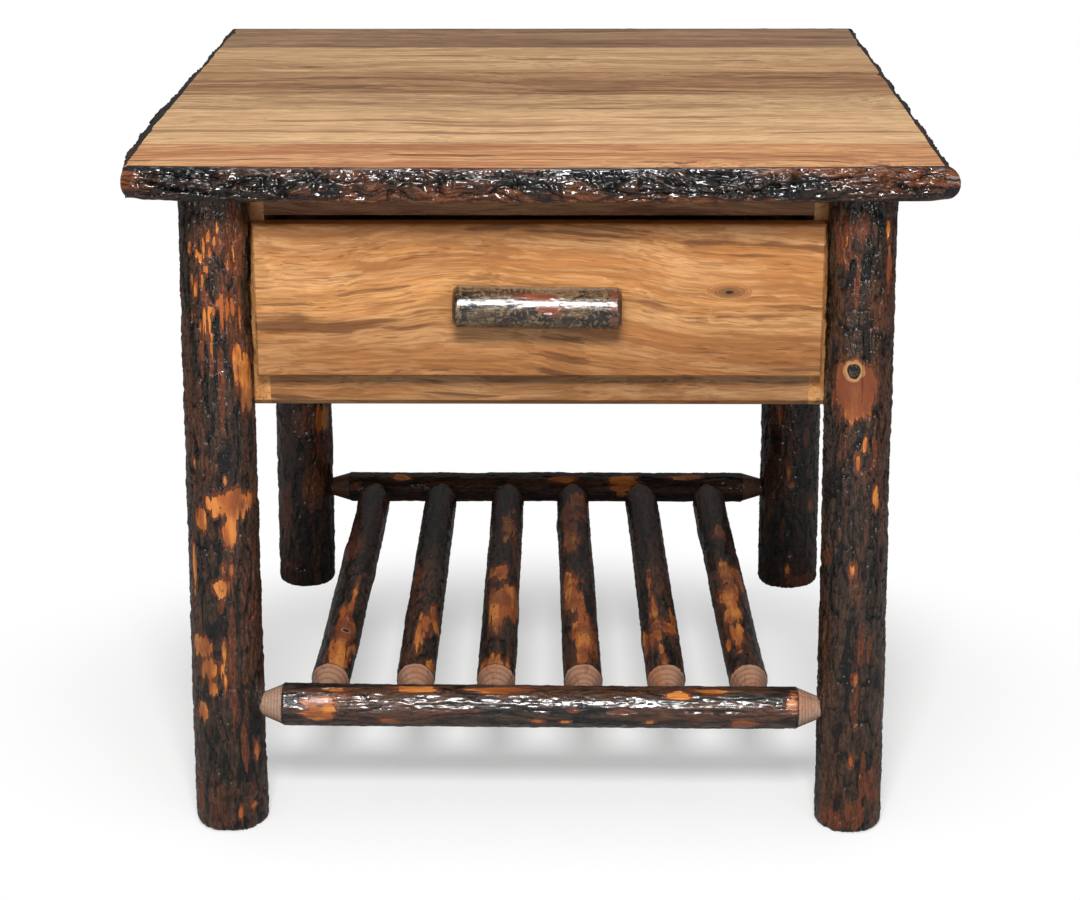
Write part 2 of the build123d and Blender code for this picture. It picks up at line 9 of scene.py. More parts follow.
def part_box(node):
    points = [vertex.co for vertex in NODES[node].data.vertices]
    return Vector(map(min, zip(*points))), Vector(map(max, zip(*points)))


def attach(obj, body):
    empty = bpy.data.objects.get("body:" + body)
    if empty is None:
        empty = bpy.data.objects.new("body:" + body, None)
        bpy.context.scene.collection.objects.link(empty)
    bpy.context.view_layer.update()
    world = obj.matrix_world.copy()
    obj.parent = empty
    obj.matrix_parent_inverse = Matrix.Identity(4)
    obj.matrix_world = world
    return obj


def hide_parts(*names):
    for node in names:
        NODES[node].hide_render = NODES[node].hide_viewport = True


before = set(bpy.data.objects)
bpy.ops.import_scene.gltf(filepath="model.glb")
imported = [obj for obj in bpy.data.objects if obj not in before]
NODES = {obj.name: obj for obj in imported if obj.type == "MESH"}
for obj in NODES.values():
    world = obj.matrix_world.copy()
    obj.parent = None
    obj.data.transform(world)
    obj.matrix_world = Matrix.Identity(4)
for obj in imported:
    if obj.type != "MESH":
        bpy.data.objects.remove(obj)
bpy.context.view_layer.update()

# Rustic hickory end table. Lengths in scene.py are metres; MM turns a millimetre value into metres.
MM = 0.001


def span(node, axis):
    """Lowest and highest value of a node along an axis number."""
    low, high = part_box(node)
    return low[axis], high[axis]


TOP_Z = span("top_board_1", 2)[1]
UNDER_Z = span("top_board_1", 2)[0]
FIELD_X = span("top_board_1", 0)[1]
FIELD_BACK = span("top_board_7", 1)[1]
FIELD_FRONT = span("top_board_1", 1)[0]
FRONT_SAG = 8 * MM
DRAWER_FACE = span("drawer_front", 1)[0]
BASE_X = sum(span("drawer_front", 0)) / 2


# ---- noise over a bark surface
def hashed(i, j, seed):
    """Repeatable number in 0..1 for each pair of whole numbers."""
    value = np.sin(i * 127.1 + j * 311.7 + seed * 74.7) * 43758.5453
    return value - np.floor(value)


def drift(u, v, seed, period=4096):
    """Smooth noise in -1..1; u wraps after a whole number of cells."""
    i, j = np.floor(u), np.floor(v)
    a, b = u - i, v - j
    a, b = a * a * (3 - 2 * a), b * b * (3 - 2 * b)
    low = hashed(i % period, j, seed) * (1 - a) + hashed((i + 1) % period, j, seed) * a
    high = hashed(i % period, j + 1, seed) * (1 - a) + hashed((i + 1) % period, j + 1, seed) * a
    return 2 * (low * (1 - b) + high * b) - 1


def layered(u, v, seed, period=4096, layers=3):
    """A few octaves of drift, still wrapping in u."""
    total, weight = 0.0, 0.0
    for layer in range(layers):
        scale, share = 2 ** layer, 0.5 ** layer
        total = total + share * drift(u * scale, v * scale, seed + 7 * layer, period * scale)
        weight += share
    return total / weight


def ramp(value, low, high):
    """0 below low, 1 above high, smooth between."""
    t = np.clip((value - low) / (high - low), 0, 1)
    return t * t * (3 - 2 * t)


def furrows(u, v, seed, period, width):
    """1 along a net of wandering lines, 0 between them."""
    return 1 - ramp(np.abs(drift(u, v, seed, period)), 0.0, width)


# ---- bark
# wide and long are the size of a bark plate, depth the depth of its furrows, rough the size of the
# small flakes, bend how much the furrows wander, crack their width, loose how readily bark peels off.
BARK_LOOKS = {
    "leg": dict(wide=7 * MM, long=32 * MM, depth=1.7 * MM, rough=0.8 * MM, bend=0.7, crack=0.26, loose=-0.62),
    "edging": dict(wide=9 * MM, long=46 * MM, depth=7.5 * MM, rough=1.8 * MM, bend=1.1, crack=0.34,
                   loose=-9.0),
    "stretcher": dict(wide=5 * MM, long=44 * MM, depth=1.0 * MM, rough=0.55 * MM, bend=0.5, crack=0.26,
                      loose=-0.62),
    "spindle": dict(wide=6 * MM, long=40 * MM, depth=0.8 * MM, rough=0.5 * MM, bend=0.5, crack=0.24,
                    loose=-0.66),
    "handle": dict(wide=9 * MM, long=30 * MM, depth=0.15 * MM, rough=0.22 * MM, bend=0.6, crack=0.30,
                   loose=-0.50),
}


def bark_relief(around, along, girth, look, seed):
    """Relief in metres, height in 0..1 and a slowly changing tone, over a bark surface."""
    columns = 2 * max(2, round(girth / look["wide"] / 2))
    u, v = around / girth * columns, along / look["long"]
    sway = look["bend"] * (drift(u / 2, 0.8 * v, seed + 3, columns // 2)
                           + 0.4 * drift(2 * u, 2.6 * v, seed + 5, 2 * columns))
    wide = furrows(u + sway, v + 0.3 * sway, seed, columns, look["crack"])
    middle = furrows(2 * u + 1.7 * sway, 2.3 * v, seed + 11, 2 * columns, 0.30)
    small = furrows(4 * u + 3 * sway, 4.7 * v, seed + 17, 4 * columns, 0.34)
    bulk = layered(u + sway, 1.3 * v, seed + 23, columns, 2)
    flakes = layered(4 * u + 2 * sway, 3.5 * v, seed + 29, 4 * columns, 2)
    height = 0.70 + 0.22 * bulk - 0.50 * wide - 0.26 * middle - 0.12 * small + 0.10 * flakes
    tone = 0.5 + 0.5 * layered(u / 2, v / 3, seed + 37, columns // 2, 2)
    return look["depth"] * (height - 0.65) + look["rough"] * (flakes - 0.4 * small), height, tone


def peeling(around, along, girth, patches, look, seed):
    """How bare each point is: over 0.25 wood shows, over 0 the brown inner bark.

    A patch's depth is 1 where it is left out; under 0.65 only the outer bark is gone.
    """
    cells = 2 * max(2, round(girth / (8 * MM)))
    tears = layered(around / girth * cells, along / (22 * MM), seed + 41, cells, 3)
    slits = layered(around / girth * 4 * cells, along / (15 * MM), seed + 43, 4 * cells, 2)
    level = look["loose"] + 0.5 * tears
    for patch in patches:
        at, turn, half_long, half_wide, depth = (*patch, 1)[:5]
        across = ((around / girth - turn / 360 + 0.5) % 1.0 - 0.5) * girth / MM
        reach = np.hypot((along / MM - at) / half_long, across / half_wide)
        inward = (1 - reach) * min(half_long, half_wide)
        broad = min(1.0, half_wide / 8)
        ragged = (0.10 + 0.45 * broad) * tears + 0.26 * slits
        full = 0.20 if depth < 0.65 else 1.0
        here = np.minimum(min(0.25, full) + (0.20 - 0.12 * broad) * inward + ragged, full)
        level = np.maximum(level, np.where(reach < 2.5, here, -1.0))
    return level


# ---- meshes
def unrolled(columns, rows):
    """Grid mesh whose x and y run 0..1, ready to be wrapped round a log."""
    bm = bmesh.new()
    bmesh.ops.create_grid(bm, x_segments=columns, y_segments=rows, size=0.5)
    mesh = bpy.data.meshes.new("bark")
    bm.to_mesh(mesh)
    bm.free()
    flat = np.empty(len(mesh.vertices) * 3)
    mesh.vertices.foreach_get("co", flat)
    flat = flat.reshape(-1, 3)
    return mesh, flat[:, 0] + 0.5, flat[:, 1] + 0.5


def wrapped(name, mesh, points, channels, node, body, material):
    """Object from a placed grid: channels kept as a colour, seam merged, ends closed."""
    mesh.vertices.foreach_set("co", points.ravel())
    colour = mesh.color_attributes.new(name="bark", type="FLOAT_COLOR", domain="POINT")
    colour.data.foreach_set("color", channels.ravel().astype(np.float32))
    bm = bmesh.new()
    bm.from_mesh(mesh)
    bmesh.ops.remove_doubles(bm, verts=bm.verts, dist=1e-6)
    for face in bm.faces:
        face.smooth = True
    rims = [edge for edge in bm.edges if edge.is_boundary]
    caps = bmesh.ops.edgeloop_fill(bm, edges=rims)["faces"]
    for cap in caps:
        cap.smooth = False
    bmesh.ops.recalc_face_normals(bm, faces=bm.faces)
    bm.to_mesh(mesh)
    bm.free()
    piece = bpy.data.objects.new(name, mesh)
    bpy.context.scene.collection.objects.link(piece)
    mesh.materials.append(material)
    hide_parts(node)
    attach(piece, body)
    return piece


def frame_along(start, end, upright):
    """Unit vectors along a log and across it; angle 0 of a log points to upright."""
    along = (Vector(end) - Vector(start)).normalized()
    zero = Vector(upright) - along * along.dot(Vector(upright))
    zero.normalize()
    side = along.cross(zero)
    return np.array(along), np.array(zero), np.array(side)


# what the bark attribute's level says where a log is turned bare
TURNED = -5.0


def log(name, node, body, material, start, end, outline, look, seed, upright=(0, -1, 0), bow=0.0,
        patches=(), knots=(), cell=1.3 * MM, turned_ends=(), bumps=()):
    """Bark-covered log from start to end.

    outline is (distance along, radius) pairs. The tables further on explain patches, knots and bumps; a
    bump is a knot without a hollow. turned_ends are the stretches that are turned bare.
    """
    start, end = Vector(start), Vector(end)
    length = (end - start).length
    radius = max(r for _, r in outline)
    girth = 2 * math.pi * radius
    mesh, x, y = unrolled(round(girth / cell), round(length / cell))
    stations = np.array([d for d, _ in outline])
    radii = np.array([r for _, r in outline])
    along = placed_rows(stations / length, y, round(length / cell)) * length
    around = x * girth
    relief, height, tone = bark_relief(around, along, girth, BARK_LOOKS[look], seed)
    level = peeling(around, along, girth, patches, BARK_LOOKS[look], seed)
    knot = np.full(len(x), 9.0)
    for at, turn, size, rise in tuple(knots) + tuple(bumps):
        across = ((around / girth - turn / 360 + 0.5) % 1.0 - 0.5) * girth
        reach = np.hypot((along - at * MM), across) / (size * MM)
        reach = reach * (1 + 0.20 * drift(around / (4 * MM), along / (5 * MM), seed + 61))
        relief = relief * ramp(reach, 0.6, 1.6) + rise * MM * np.exp(-(reach / 1.5) ** 2)
        if (at, turn, size, rise) in knots:
            knot = np.minimum(knot, reach)
            facets = drift(around / (2.2 * MM), along / (2.6 * MM), seed + 67)
            hollow = (1 - ramp(reach, 0.5, 0.75)) * (0.7 + 0.3 * facets)
            relief = relief - 1.5 * rise * MM * hollow
            level = np.where(reach < 1.2, 1.0, level)
    thick = BARK_LOOKS[look]["depth"] * 0.35 + 0.15 * MM
    bare = ramp(level, 0.21, 0.30)
    relief = relief * (1 - 0.85 * bare) - thick * (0.45 * ramp(level, -0.04, 0.04) + 0.55 * bare)
    plain = np.zeros(len(x))
    for low, high in turned_ends:
        plain = np.maximum(plain, ramp(along, low, low + 0.6 * MM) * (1 - ramp(along, high - 0.6 * MM, high)))
    lumps = 0.022 * radius * layered(around / girth * 3, along / (80 * MM), seed + 29, 3, 2)
    distance = np.interp(along, stations, radii) + (relief + lumps) * (1 - plain)
    axis, zero, side = frame_along(start, end, upright)
    angle = 2 * math.pi * x
    share = along / length
    sway = bow * (np.sin(math.pi * share) + 0.3 * np.sin(3 * math.pi * share))
    centre = np.array(start)[None, :] + along[:, None] * axis[None, :] + sway[:, None] * side[None, :]
    points = centre + distance[:, None] * (np.cos(angle)[:, None] * zero + np.sin(angle)[:, None] * side)
    level = np.where(plain > 0.5, TURNED, np.clip(level, -1, 1))
    channels = np.stack([height, level, tone, np.minimum(knot, 6.0)], axis=1)
    return wrapped(name, mesh, points, channels, node, body, material)


def placed_rows(stations, y, rows):
    """Rows pulled onto the outline's stations so that each corner of the outline stays crisp."""
    levels = np.linspace(0, 1, rows + 1)
    for station in stations[1:-1]:
        levels[np.argmin(np.abs(levels - station))] = station
    return np.interp(y, np.linspace(0, 1, rows + 1), levels)


# ---- materials
def feed(tree, node, inputs):
    """Set a node's inputs, or link them to sockets."""
    for key, value in dict(inputs).items():
        if isinstance(value, bpy.types.NodeSocket):
            tree.links.new(value, node.inputs[key])
        else:
            node.inputs[key].default_value = value


def adder(tree):
    """Helper that adds a shader node to a tree, with its settings and inputs."""
    def add(kind, inputs=(), **settings):
        node = tree.nodes.new("ShaderNode" + kind)
        for key, value in settings.items():
            setattr(node, key, value)
        feed(tree, node, inputs)
        return node

    return add


def graph(name):
    """New node material, with its tree, its shader and the helper that adds nodes."""
    material = bpy.data.materials.new(name)
    material.use_nodes = True
    tree = material.node_tree
    return material, tree, tree.nodes["Principled BSDF"], adder(tree)


def mixed(add, share, first, second, blend="MIX"):
    """Colour socket that goes from first to second as share goes from 0 to 1."""
    return add("Mix", {0: share, 6: first, 7: second}, data_type="RGBA", blend_type=blend).outputs[2]


def stepped(add, value, low, high, low_out=0.0, high_out=1.0):
    """Value remapped from low..high, smooth and clamped."""
    node = add("MapRange", {"Value": value, "From Min": low, "From Max": high,
                            "To Min": low_out, "To Max": high_out}, interpolation_type="SMOOTHSTEP")
    return node.outputs[0]


def sums(add, operation, first, second):
    """Result of a maths node."""
    return add("Math", {0: first, 1: second}, operation=operation).outputs[0]


def painted(add, colour, layers):
    """Colour socket with layers over it, each given as (share, strength, tint)."""
    for share, strength, tint in layers:
        colour = mixed(add, sums(add, "MULTIPLY", share, strength), colour, tint)
    return colour


def rgb(red, green, blue):
    """Colour given as it shows on screen, 0 to 255, turned linear."""
    shown = [channel / 255 for channel in (red, green, blue)]
    return tuple(((c + 0.055) / 1.055) ** 2.4 if c > 10 / 255 else c / 12.92 for c in shown) + (1,)


def spot(add, where, centre, radii):
    """1 at a centre, 0 past an ellipsoid of those radii."""
    scale = [1 / r for r in radii]
    location = [-c * s for c, s in zip(centre, scale)]
    placed = add("Mapping", {"Vector": where, "Location": location, "Scale": scale}).outputs[0]
    return add("TexGradient", {"Vector": placed}, gradient_type="SPHERICAL").outputs["Fac"]


def squeezed(grain, amount):
    """Scale that makes a pattern run long along the grain's axis."""
    return [amount if axis == grain else 1 for axis in "xyz"]


def wood(name, pale, mid, dark, grain="x", shift=(0, 0, 0), tilt=0.0, wave=1.0, curl=0.3, stripe=0.6,
         streak=0.5, tone_at=0.5, knots=(), swirls=(), gloss=0.3, roughness=0.42, border=None, tone_and_shade_fade=None):
    """Lacquered board: broad tone bands, stripes, dark streaks, short dashes and optional knots.

    tilt slopes the grain, wave bends it, curl ripples it; tone_at shifts the balance of pale and mid.
    border is (axis, place, slope, softness): past that line the board is the mid tone only.
    The darkening tuple (axis, begin, finish, strength) darkens the board along an axis: partly a browner wood
    tone, partly painted shade for light that falls off along it. Grain bends round swirls.
    """
    material, tree, shader, add = graph(name)
    where = add("TexCoord").outputs["Object"]
    turn = [0 if axis == grain else tilt for axis in "xyz"]
    turned = add("Mapping", {"Vector": where, "Location": shift, "Rotation": turn}).outputs[0]

    def pushed(vector, scale, amount):
        noise = add("TexNoise", {"Vector": vector, "Scale": scale, "Detail": 1.0}).outputs["Color"]
        middle = (0.5, 0.5, 0.5)
        centred = add("VectorMath", {0: noise, 1: middle}, operation="SUBTRACT").outputs[0]
        sized = add("VectorMath", {0: centred, "Scale": amount}, operation="SCALE").outputs[0]
        return add("VectorMath", {0: vector, 1: sized}, operation="ADD").outputs[0]

    path = pushed(turned, 4.0, 0.046 * wave)
    path = pushed(path, 18.0, 0.0055 * wave)
    path = pushed(path, 70.0, 0.0022 * curl)
    knot = None
    for centre, radii in knots:
        here = spot(add, where, centre, radii)
        knot = here if knot is None else sums(add, "MAXIMUM", knot, here)
    for centre, radii, strength in swirls + tuple((centre, radii, 0.03) for centre, radii in knots):
        lift = sums(add, "MULTIPLY", spot(add, where, centre, radii), strength)
        raised = add("CombineXYZ", {"Y": lift, "Z": lift}).outputs[0]
        path = add("VectorMath", {0: path, 1: raised}, operation="ADD").outputs[0]
    long_path, fine_path = [
        add("Mapping", {"Vector": path, "Scale": squeezed(grain, amount)}).outputs[0]
        for amount in (0.05, 0.06)]

    def lines(scale, low, high, vector=long_path, detail=2.0, rough=0.5):
        noise = add("TexNoise", {"Vector": vector, "Scale": scale, "Detail": detail, "Roughness": rough})
        return stepped(add, noise.outputs["Fac"], low, high)

    tone = lines(22.0, tone_at - 0.09, tone_at + 0.09)
    if border is not None:
        axis, place, slope, soft = border
        parts = add("SeparateXYZ", {0: path})
        line = sums(add, "SUBTRACT", parts.outputs[axis], sums(add, "MULTIPLY", parts.outputs[0], slope))
        tone = sums(add, "MAXIMUM", sums(add, "MULTIPLY", tone, 0.25),
                    stepped(add, line, place + shift[axis] - soft, place + shift[axis] + soft))
    half = mixed(add, 0.5, mid, dark)
    light = mixed(add, 0.35, pale, rgb(252, 218, 166))
    dashes = sums(add, "MULTIPLY", lines(640.0, 0.60, 0.68, fine_path, 1.0), lines(40.0, 0.44, 0.60))
    fibre = lines(900.0, 0.30, 0.70, fine_path, 3.0, 0.7)
    base = painted(add, mixed(add, tone, pale, mid), [
        (lines(70.0, 0.46, 0.64), 0.60 * stripe, half),
        (lines(210.0, 0.46, 0.62), 0.50 * stripe, half),
        (lines(58.0, 0.53, 0.38, detail=3.0), 0.60 * stripe, light),
        (lines(480.0, 0.48, 0.60, fine_path), 0.60 * stripe, half),
        (lines(300.0, 0.48, 0.36), 0.40 * stripe, light),
        (lines(48.0, 0.60, 0.66, detail=4.0, rough=0.55), streak, dark),
        (lines(160.0, 0.62, 0.68, detail=3.0), 0.8 * streak, dark),
        (dashes, 0.60, dark),
        (fibre, 0.42, half)])
    if knot is not None:
        base = painted(add, base, [(stepped(add, knot, 0.10, 0.75), 0.75, dark)])
        base = mixed(add, stepped(add, knot, 0.78, 0.88), base, rgb(34, 20, 12))
    # darker along an axis: a browner tone together with painted shade
    if tone_and_shade_fade is not None:
        axis, begin, finish, strength = tone_and_shade_fade
        place = add("SeparateXYZ", {0: where}).outputs[axis]
        share = sums(add, "MULTIPLY", stepped(add, place, begin, finish), strength)
        base = mixed(add, share, base, (0.42, 0.34, 0.28, 1), "MULTIPLY")
    relief = sums(add, "ADD", fibre, lines(230.0, 0.30, 0.70))
    bump = add("Bump", {"Height": relief, "Strength": 0.30, "Distance": 0.12 * MM}).outputs[0]
    feed(tree, shader, {"Base Color": base, "Roughness": roughness, "Specular IOR Level": 0.3,
                        "Coat Weight": gloss, "Coat Roughness": 0.22, "Normal": bump})
    return material


KNOT_COLLAR, KNOT_RING = rgb(112, 56, 30), rgb(178, 132, 84)
KNOT_CORE, KNOT_CORE_PALE = rgb(12, 8, 7), rgb(78, 56, 48)
# near-black for the deepest bark furrows: partly the furrows' own dark colour, partly painted shade for their
# depth
FURROW_DARK_AND_SHADE = rgb(6, 4, 3)


def bark(name, grain, dark, mid, ridge, inner, flesh, flesh_pale, turned_wood=rgb(176, 142, 120), gloss=0.55,
         roughness=0.42, sheen=0.12, warm=0.6, bump_size=0.5, rings=150.0, lacquer=0.12, ripple=260.0,
         speckle=0.0):
    """Lacquered bark whose colour follows what the mesh keeps in its bark attribute.

    gloss is the lacquer's weight and sheen the bark's own. rings sets how close the lathe marks of the
    turned ends lie, lacquer and ripple how rough and how finely rippled the lacquer is, speckle how much
    the bark breaks up into small pale and dark scales.
    """
    material, tree, shader, add = graph(name)
    where = add("TexCoord").outputs["Object"]
    data = add("Attribute", attribute_name="bark", attribute_type="GEOMETRY")
    split = add("SeparateColor", {0: data.outputs["Color"]})
    height, level, tone = split.outputs[0], split.outputs[1], split.outputs[2]
    knot = data.outputs["Alpha"]
    squeeze = squeezed(grain, 0.22 if grain == "z" else 0.16)
    placed = add("Mapping", {"Vector": where, "Scale": squeeze}).outputs[0]

    def noise(vector, scale, detail=2.0, rough=0.5):
        return add("TexNoise", {"Vector": vector, "Scale": scale, "Detail": detail,
                                "Roughness": rough}).outputs["Fac"]

    def near(value, middle, width):
        apart = sums(add, "ABSOLUTE", sums(add, "SUBTRACT", value, middle), 0.0)
        return stepped(add, apart, width, 0.0)

    strand = noise(placed, 360.0, 3.0, 0.65)
    crease = near(noise(placed, 260.0, 3.0, 0.6), 0.5, 0.05)
    cloud = noise(where, 30.0, 3.0)
    warmth = sums(add, "ADD", sums(add, "MULTIPLY", tone, 0.6), sums(add, "MULTIPLY", cloud, 0.4))
    # lower bark is painted darker and the deepest furrows near-black: partly the bark's own colour, partly
    # painted shade
    colour = painted(add, mixed(add, stepped(add, height, 0.34, 0.74), dark, mid), [
        (stepped(add, warmth, 0.48, 0.60), warm, ridge),
        (stepped(add, height, 0.66, 0.95), 0.45, ridge),
        (stepped(add, noise(placed, 120.0, 3.0, 0.6), 0.54, 0.66), 0.45, ridge),
        (crease, 0.75, dark),
        (stepped(add, strand, 0.50, 0.64), 0.50, dark),
        (stepped(add, height, 0.36, 0.14), 0.9, FURROW_DARK_AND_SHADE)])
    if speckle:
        scales = noise(where, 300.0, 2.0, 0.6)
        colour = painted(add, colour, [
            (stepped(add, scales, 0.53, 0.58), 0.7 * speckle, ridge),
            (near(scales, 0.5, 0.025), speckle, dark)])
    torn = sums(add, "ADD", level, sums(add, "MULTIPLY", sums(add, "SUBTRACT", strand, 0.5), 0.35))
    inner_tone = mixed(add, stepped(add, strand, 0.44, 0.62), inner, mixed(add, 0.5, inner, dark))
    bare_tone = mixed(add, stepped(add, noise(placed, 90.0, 4.0, 0.6), 0.42, 0.58), flesh, flesh_pale)
    bare_tone = painted(add, bare_tone, [
        (stepped(add, cloud, 0.48, 0.62), 0.60, inner),
        (stepped(add, noise(placed, 560.0), 0.58, 0.70), 0.55, inner),
        (near(noise(placed, 75.0), 0.5, 0.012), 0.6, dark),
        (stepped(add, knot, 6.0, 3.4), 0.85, KNOT_COLLAR)])
    colour = painted(add, colour, [(stepped(add, torn, -0.03, 0.04), 0.88, inner_tone)])
    colour = mixed(add, stepped(add, torn, 0.22, 0.27), colour, bare_tone)
    colour = painted(add, colour, [(near(torn, 0.235, 0.03), 0.6, dark)])
    lathe = add("TexWave", {"Vector": where, "Scale": rings, "Distortion": 3.0, "Detail": 2.0},
                wave_type="BANDS", bands_direction=grain.upper()).outputs["Fac"]
    cut = mixed(add, stepped(add, lathe, 0.05, 0.55), mixed(add, 0.34, turned_wood, mid), turned_wood)
    cut = painted(add, cut, [
        (stepped(add, cloud, 0.50, 0.66), 0.35, flesh),
        (stepped(add, noise(placed, 200.0, 3.0), 0.54, 0.68), 0.35, mid)])
    colour = mixed(add, stepped(add, level, -1.6, -3.0), colour, cut)
    colour = mixed(add, stepped(add, knot, 1.06, 0.96), colour, KNOT_RING)
    colour = painted(add, colour, [(near(knot, 0.92, 0.08), 0.5, inner)])
    core = mixed(add, stepped(add, noise(where, 420.0), 0.52, 0.66), KNOT_CORE, KNOT_CORE_PALE)
    colour = mixed(add, stepped(add, knot, 0.76, 0.66), colour, core)
    flakes = sums(add, "MULTIPLY", sums(add, "ADD", strand, noise(where, 650.0)), 0.8)
    grooves = sums(add, "SUBTRACT", flakes, sums(add, "MULTIPLY", crease, 0.5))
    smooth = stepped(add, torn, 0.20, 0.28, 1.0, 0.22)
    turning = sums(add, "MULTIPLY", lathe, stepped(add, level, -1.6, -3.0, 0.0, 0.12))
    relief = sums(add, "ADD", sums(add, "MULTIPLY", grooves, smooth), turning)
    bump = add("Bump", {"Height": relief, "Strength": 1.0, "Distance": bump_size * MM}).outputs[0]
    waves = sums(add, "MULTIPLY", noise(where if grain == "z" else placed, ripple, 1.0), smooth)
    lumps = sums(add, "ADD", waves, sums(add, "MULTIPLY", turning, 0.4))
    coat = add("Bump", {"Height": lumps, "Strength": 1.0, "Distance": 1.1 * bump_size * MM})
    feed(tree, shader, {"Base Color": colour, "Roughness": roughness, "Specular IOR Level": sheen,
                        "Coat Weight": gloss, "Coat Roughness": lacquer, "Normal": bump,
                        "Coat Normal": coat.outputs[0]})
    return material


def steel(name, colour, roughness):
    """Plated or bare steel with a fine brushed unevenness."""
    material, tree, shader, add = graph(name)
    where = add("TexCoord").outputs["Object"]
    placed = add("Mapping", {"Vector": where, "Scale": (1, 0.05, 1)}).outputs[0]
    brushed = add("TexNoise", {"Vector": placed, "Scale": 900.0, "Detail": 2.0}).outputs["Fac"]
    cloud = add("TexNoise", {"Vector": where, "Scale": 60.0, "Detail": 2.0}).outputs["Fac"]
    dulled = sums(add, "MULTIPLY", stepped(add, cloud, 0.35, 0.7), 0.25)
    shade = mixed(add, dulled, colour, rgb(120, 120, 122))
    worn = stepped(add, brushed, 0.2, 0.8, roughness, roughness + 0.09)
    feed(tree, shader, {"Base Color": shade, "Metallic": 1.0, "Roughness": worn})
    return material


# ---- finishes
AMBER = (rgb(230, 168, 112), rgb(194, 130, 86), rgb(94, 56, 34))
TAN = (rgb(236, 192, 142), rgb(204, 156, 110), rgb(110, 75, 48))
BROWN = (rgb(190, 138, 94), rgb(158, 110, 72), rgb(76, 48, 32))
GREY = (rgb(178, 136, 102), rgb(152, 112, 84), rgb(78, 52, 38))
HONEY = (rgb(212, 152, 90), rgb(186, 124, 68), rgb(88, 50, 24))
# umber tones for the top rail: a redder wood darkened with painted shade for its recess under the top's
# overhang
SHADED_UMBER = (rgb(126, 72, 30), rgb(104, 56, 20), rgb(46, 24, 10))
RUSSET = (rgb(158, 106, 60), rgb(130, 84, 44), rgb(58, 34, 18))
PINE = (rgb(226, 200, 160), rgb(212, 182, 138), rgb(176, 140, 98))


def dress(node, material):
    """Give a CAD node's every slot this material."""
    for place in NODES[node].material_slots:
        place.material = material


def finish_boards():
    """Top boards, each cut from other wood."""
    knot = (((-0.224, 0.112, TOP_Z), (0.026, 0.009, 0.02)),)
    boards = [
        dict(tones=AMBER, stripe=1.1, streak=0.9, tilt=0.012, wave=1.0,
             swirls=(((0.20, -0.345, TOP_Z), (0.11, 0.035, 0.04), 0.05),)),
        dict(tones=TAN, stripe=0.9, streak=0.6, curl=0.8, tilt=-0.006, tone_at=0.60),
        dict(tones=(TAN[0], BROWN[1], BROWN[2]), stripe=0.8, streak=0.5, border=(1, -0.060, 0.13, 0.004)),
        dict(tones=BROWN, stripe=1.0, streak=0.8, wave=1.2, tilt=0.008),
        dict(tones=TAN, stripe=1.1, streak=0.7, wave=1.3, tone_at=0.47, knots=knot),
        dict(tones=TAN, stripe=0.9, streak=0.4, tone_at=0.50),
        dict(tones=GREY, stripe=0.8, streak=0.55, wave=1.1),
    ]
    for index, settings in enumerate(boards):
        node = f"top_board_{index + 1}"
        dress(node, wood(f"lacquered_{node}", *settings.pop("tones"),
                         shift=(0.37 * index, 0.61 * index, 0.2 * index), **settings))


def finish_case():
    """Case, drawer front and drawer box."""
    knots = (((BASE_X + 0.158, DRAWER_FACE, 0.4895), (0.020, 0.03, 0.008)),)
    finishes = {
        # the drawer front darkens towards its bottom: partly a browner wood tone, partly painted shade for
        # the light falling off there
        "drawer_front": (HONEY, dict(shift=(0.9, 0.35, 0.6), tilt=-0.035, wave=1.1, curl=0.8, stripe=0.9,
                                     streak=0.8, knots=knots, tone_and_shade_fade=(2, 0.505, 0.41, 0.60))),
        # the top rail's dark tones carry painted shade for its place under the overhang
        "rail_top": (SHADED_UMBER, dict(shift=(1.7, 0.2, 0.4), streak=0.6, gloss=0.1)),
        "rail_bottom": (RUSSET, dict(shift=(2.3, 0.1, 0.9), streak=0.8, gloss=0.15)),
        "case_back": (HONEY, dict(shift=(3.1, 0.6, 0.3), streak=0.5)),
        "case_side_left": (HONEY, dict(grain="y", shift=(0.5, 0.3, 0.8), streak=0.6)),
        "case_side_right": (HONEY, dict(grain="y", shift=(1.5, 0.3, 0.8), streak=0.6)),
    }
    for node, (tones, settings) in finishes.items():
        dress(node, wood(f"lacquered_{node}", *tones, **settings))
    plain = dict(shift=(0.2, 0.3, 0.1), streak=0.3, gloss=0.2, roughness=0.5)
    across = wood("box_wood_across", *PINE, **plain)
    lengthwise = wood("box_wood_lengthwise", *PINE, grain="y", **plain)
    for node in ("drawer_box_front", "drawer_box_back"):
        dress(node, across)
    for node in ("drawer_side_left", "drawer_side_right", "drawer_bottom", "top_cleat_left",
                 "top_cleat_right"):
        dress(node, lengthwise)
    dowel = wood("dowel_wood", *PINE, streak=0.2, gloss=0.0, roughness=0.6)
    for node in ("case_dowels", "leg_dowels"):
        dress(node, dowel)


def finish_metal():
    """Slides, screws and brads."""
    zinc = steel("zinc_plate", rgb(196, 198, 202), 0.26)
    ball = steel("ball_steel", rgb(188, 190, 194), 0.16)
    screw = steel("screw_steel", rgb(170, 171, 174), 0.30)
    brad = steel("brad_steel", rgb(96, 94, 92), 0.45)
    for side in ("left", "right"):
        for kind in ("case", "middle", "drawer"):
            dress(f"slide_{kind}_{side}", zinc)
        for row in ("outer", "inner"):
            dress(f"ball_cage_{row}_{side}", ball)
    for node in ("lag_screws", "cleat_screws", "top_screws", "handle_screws", "drawer_front_screws",
                 "slide_case_screws", "slide_drawer_screws"):
        dress(node, screw)
    for node in ("edging_brads", "tenon_brads", "drawer_box_brads"):
        dress(node, brad)


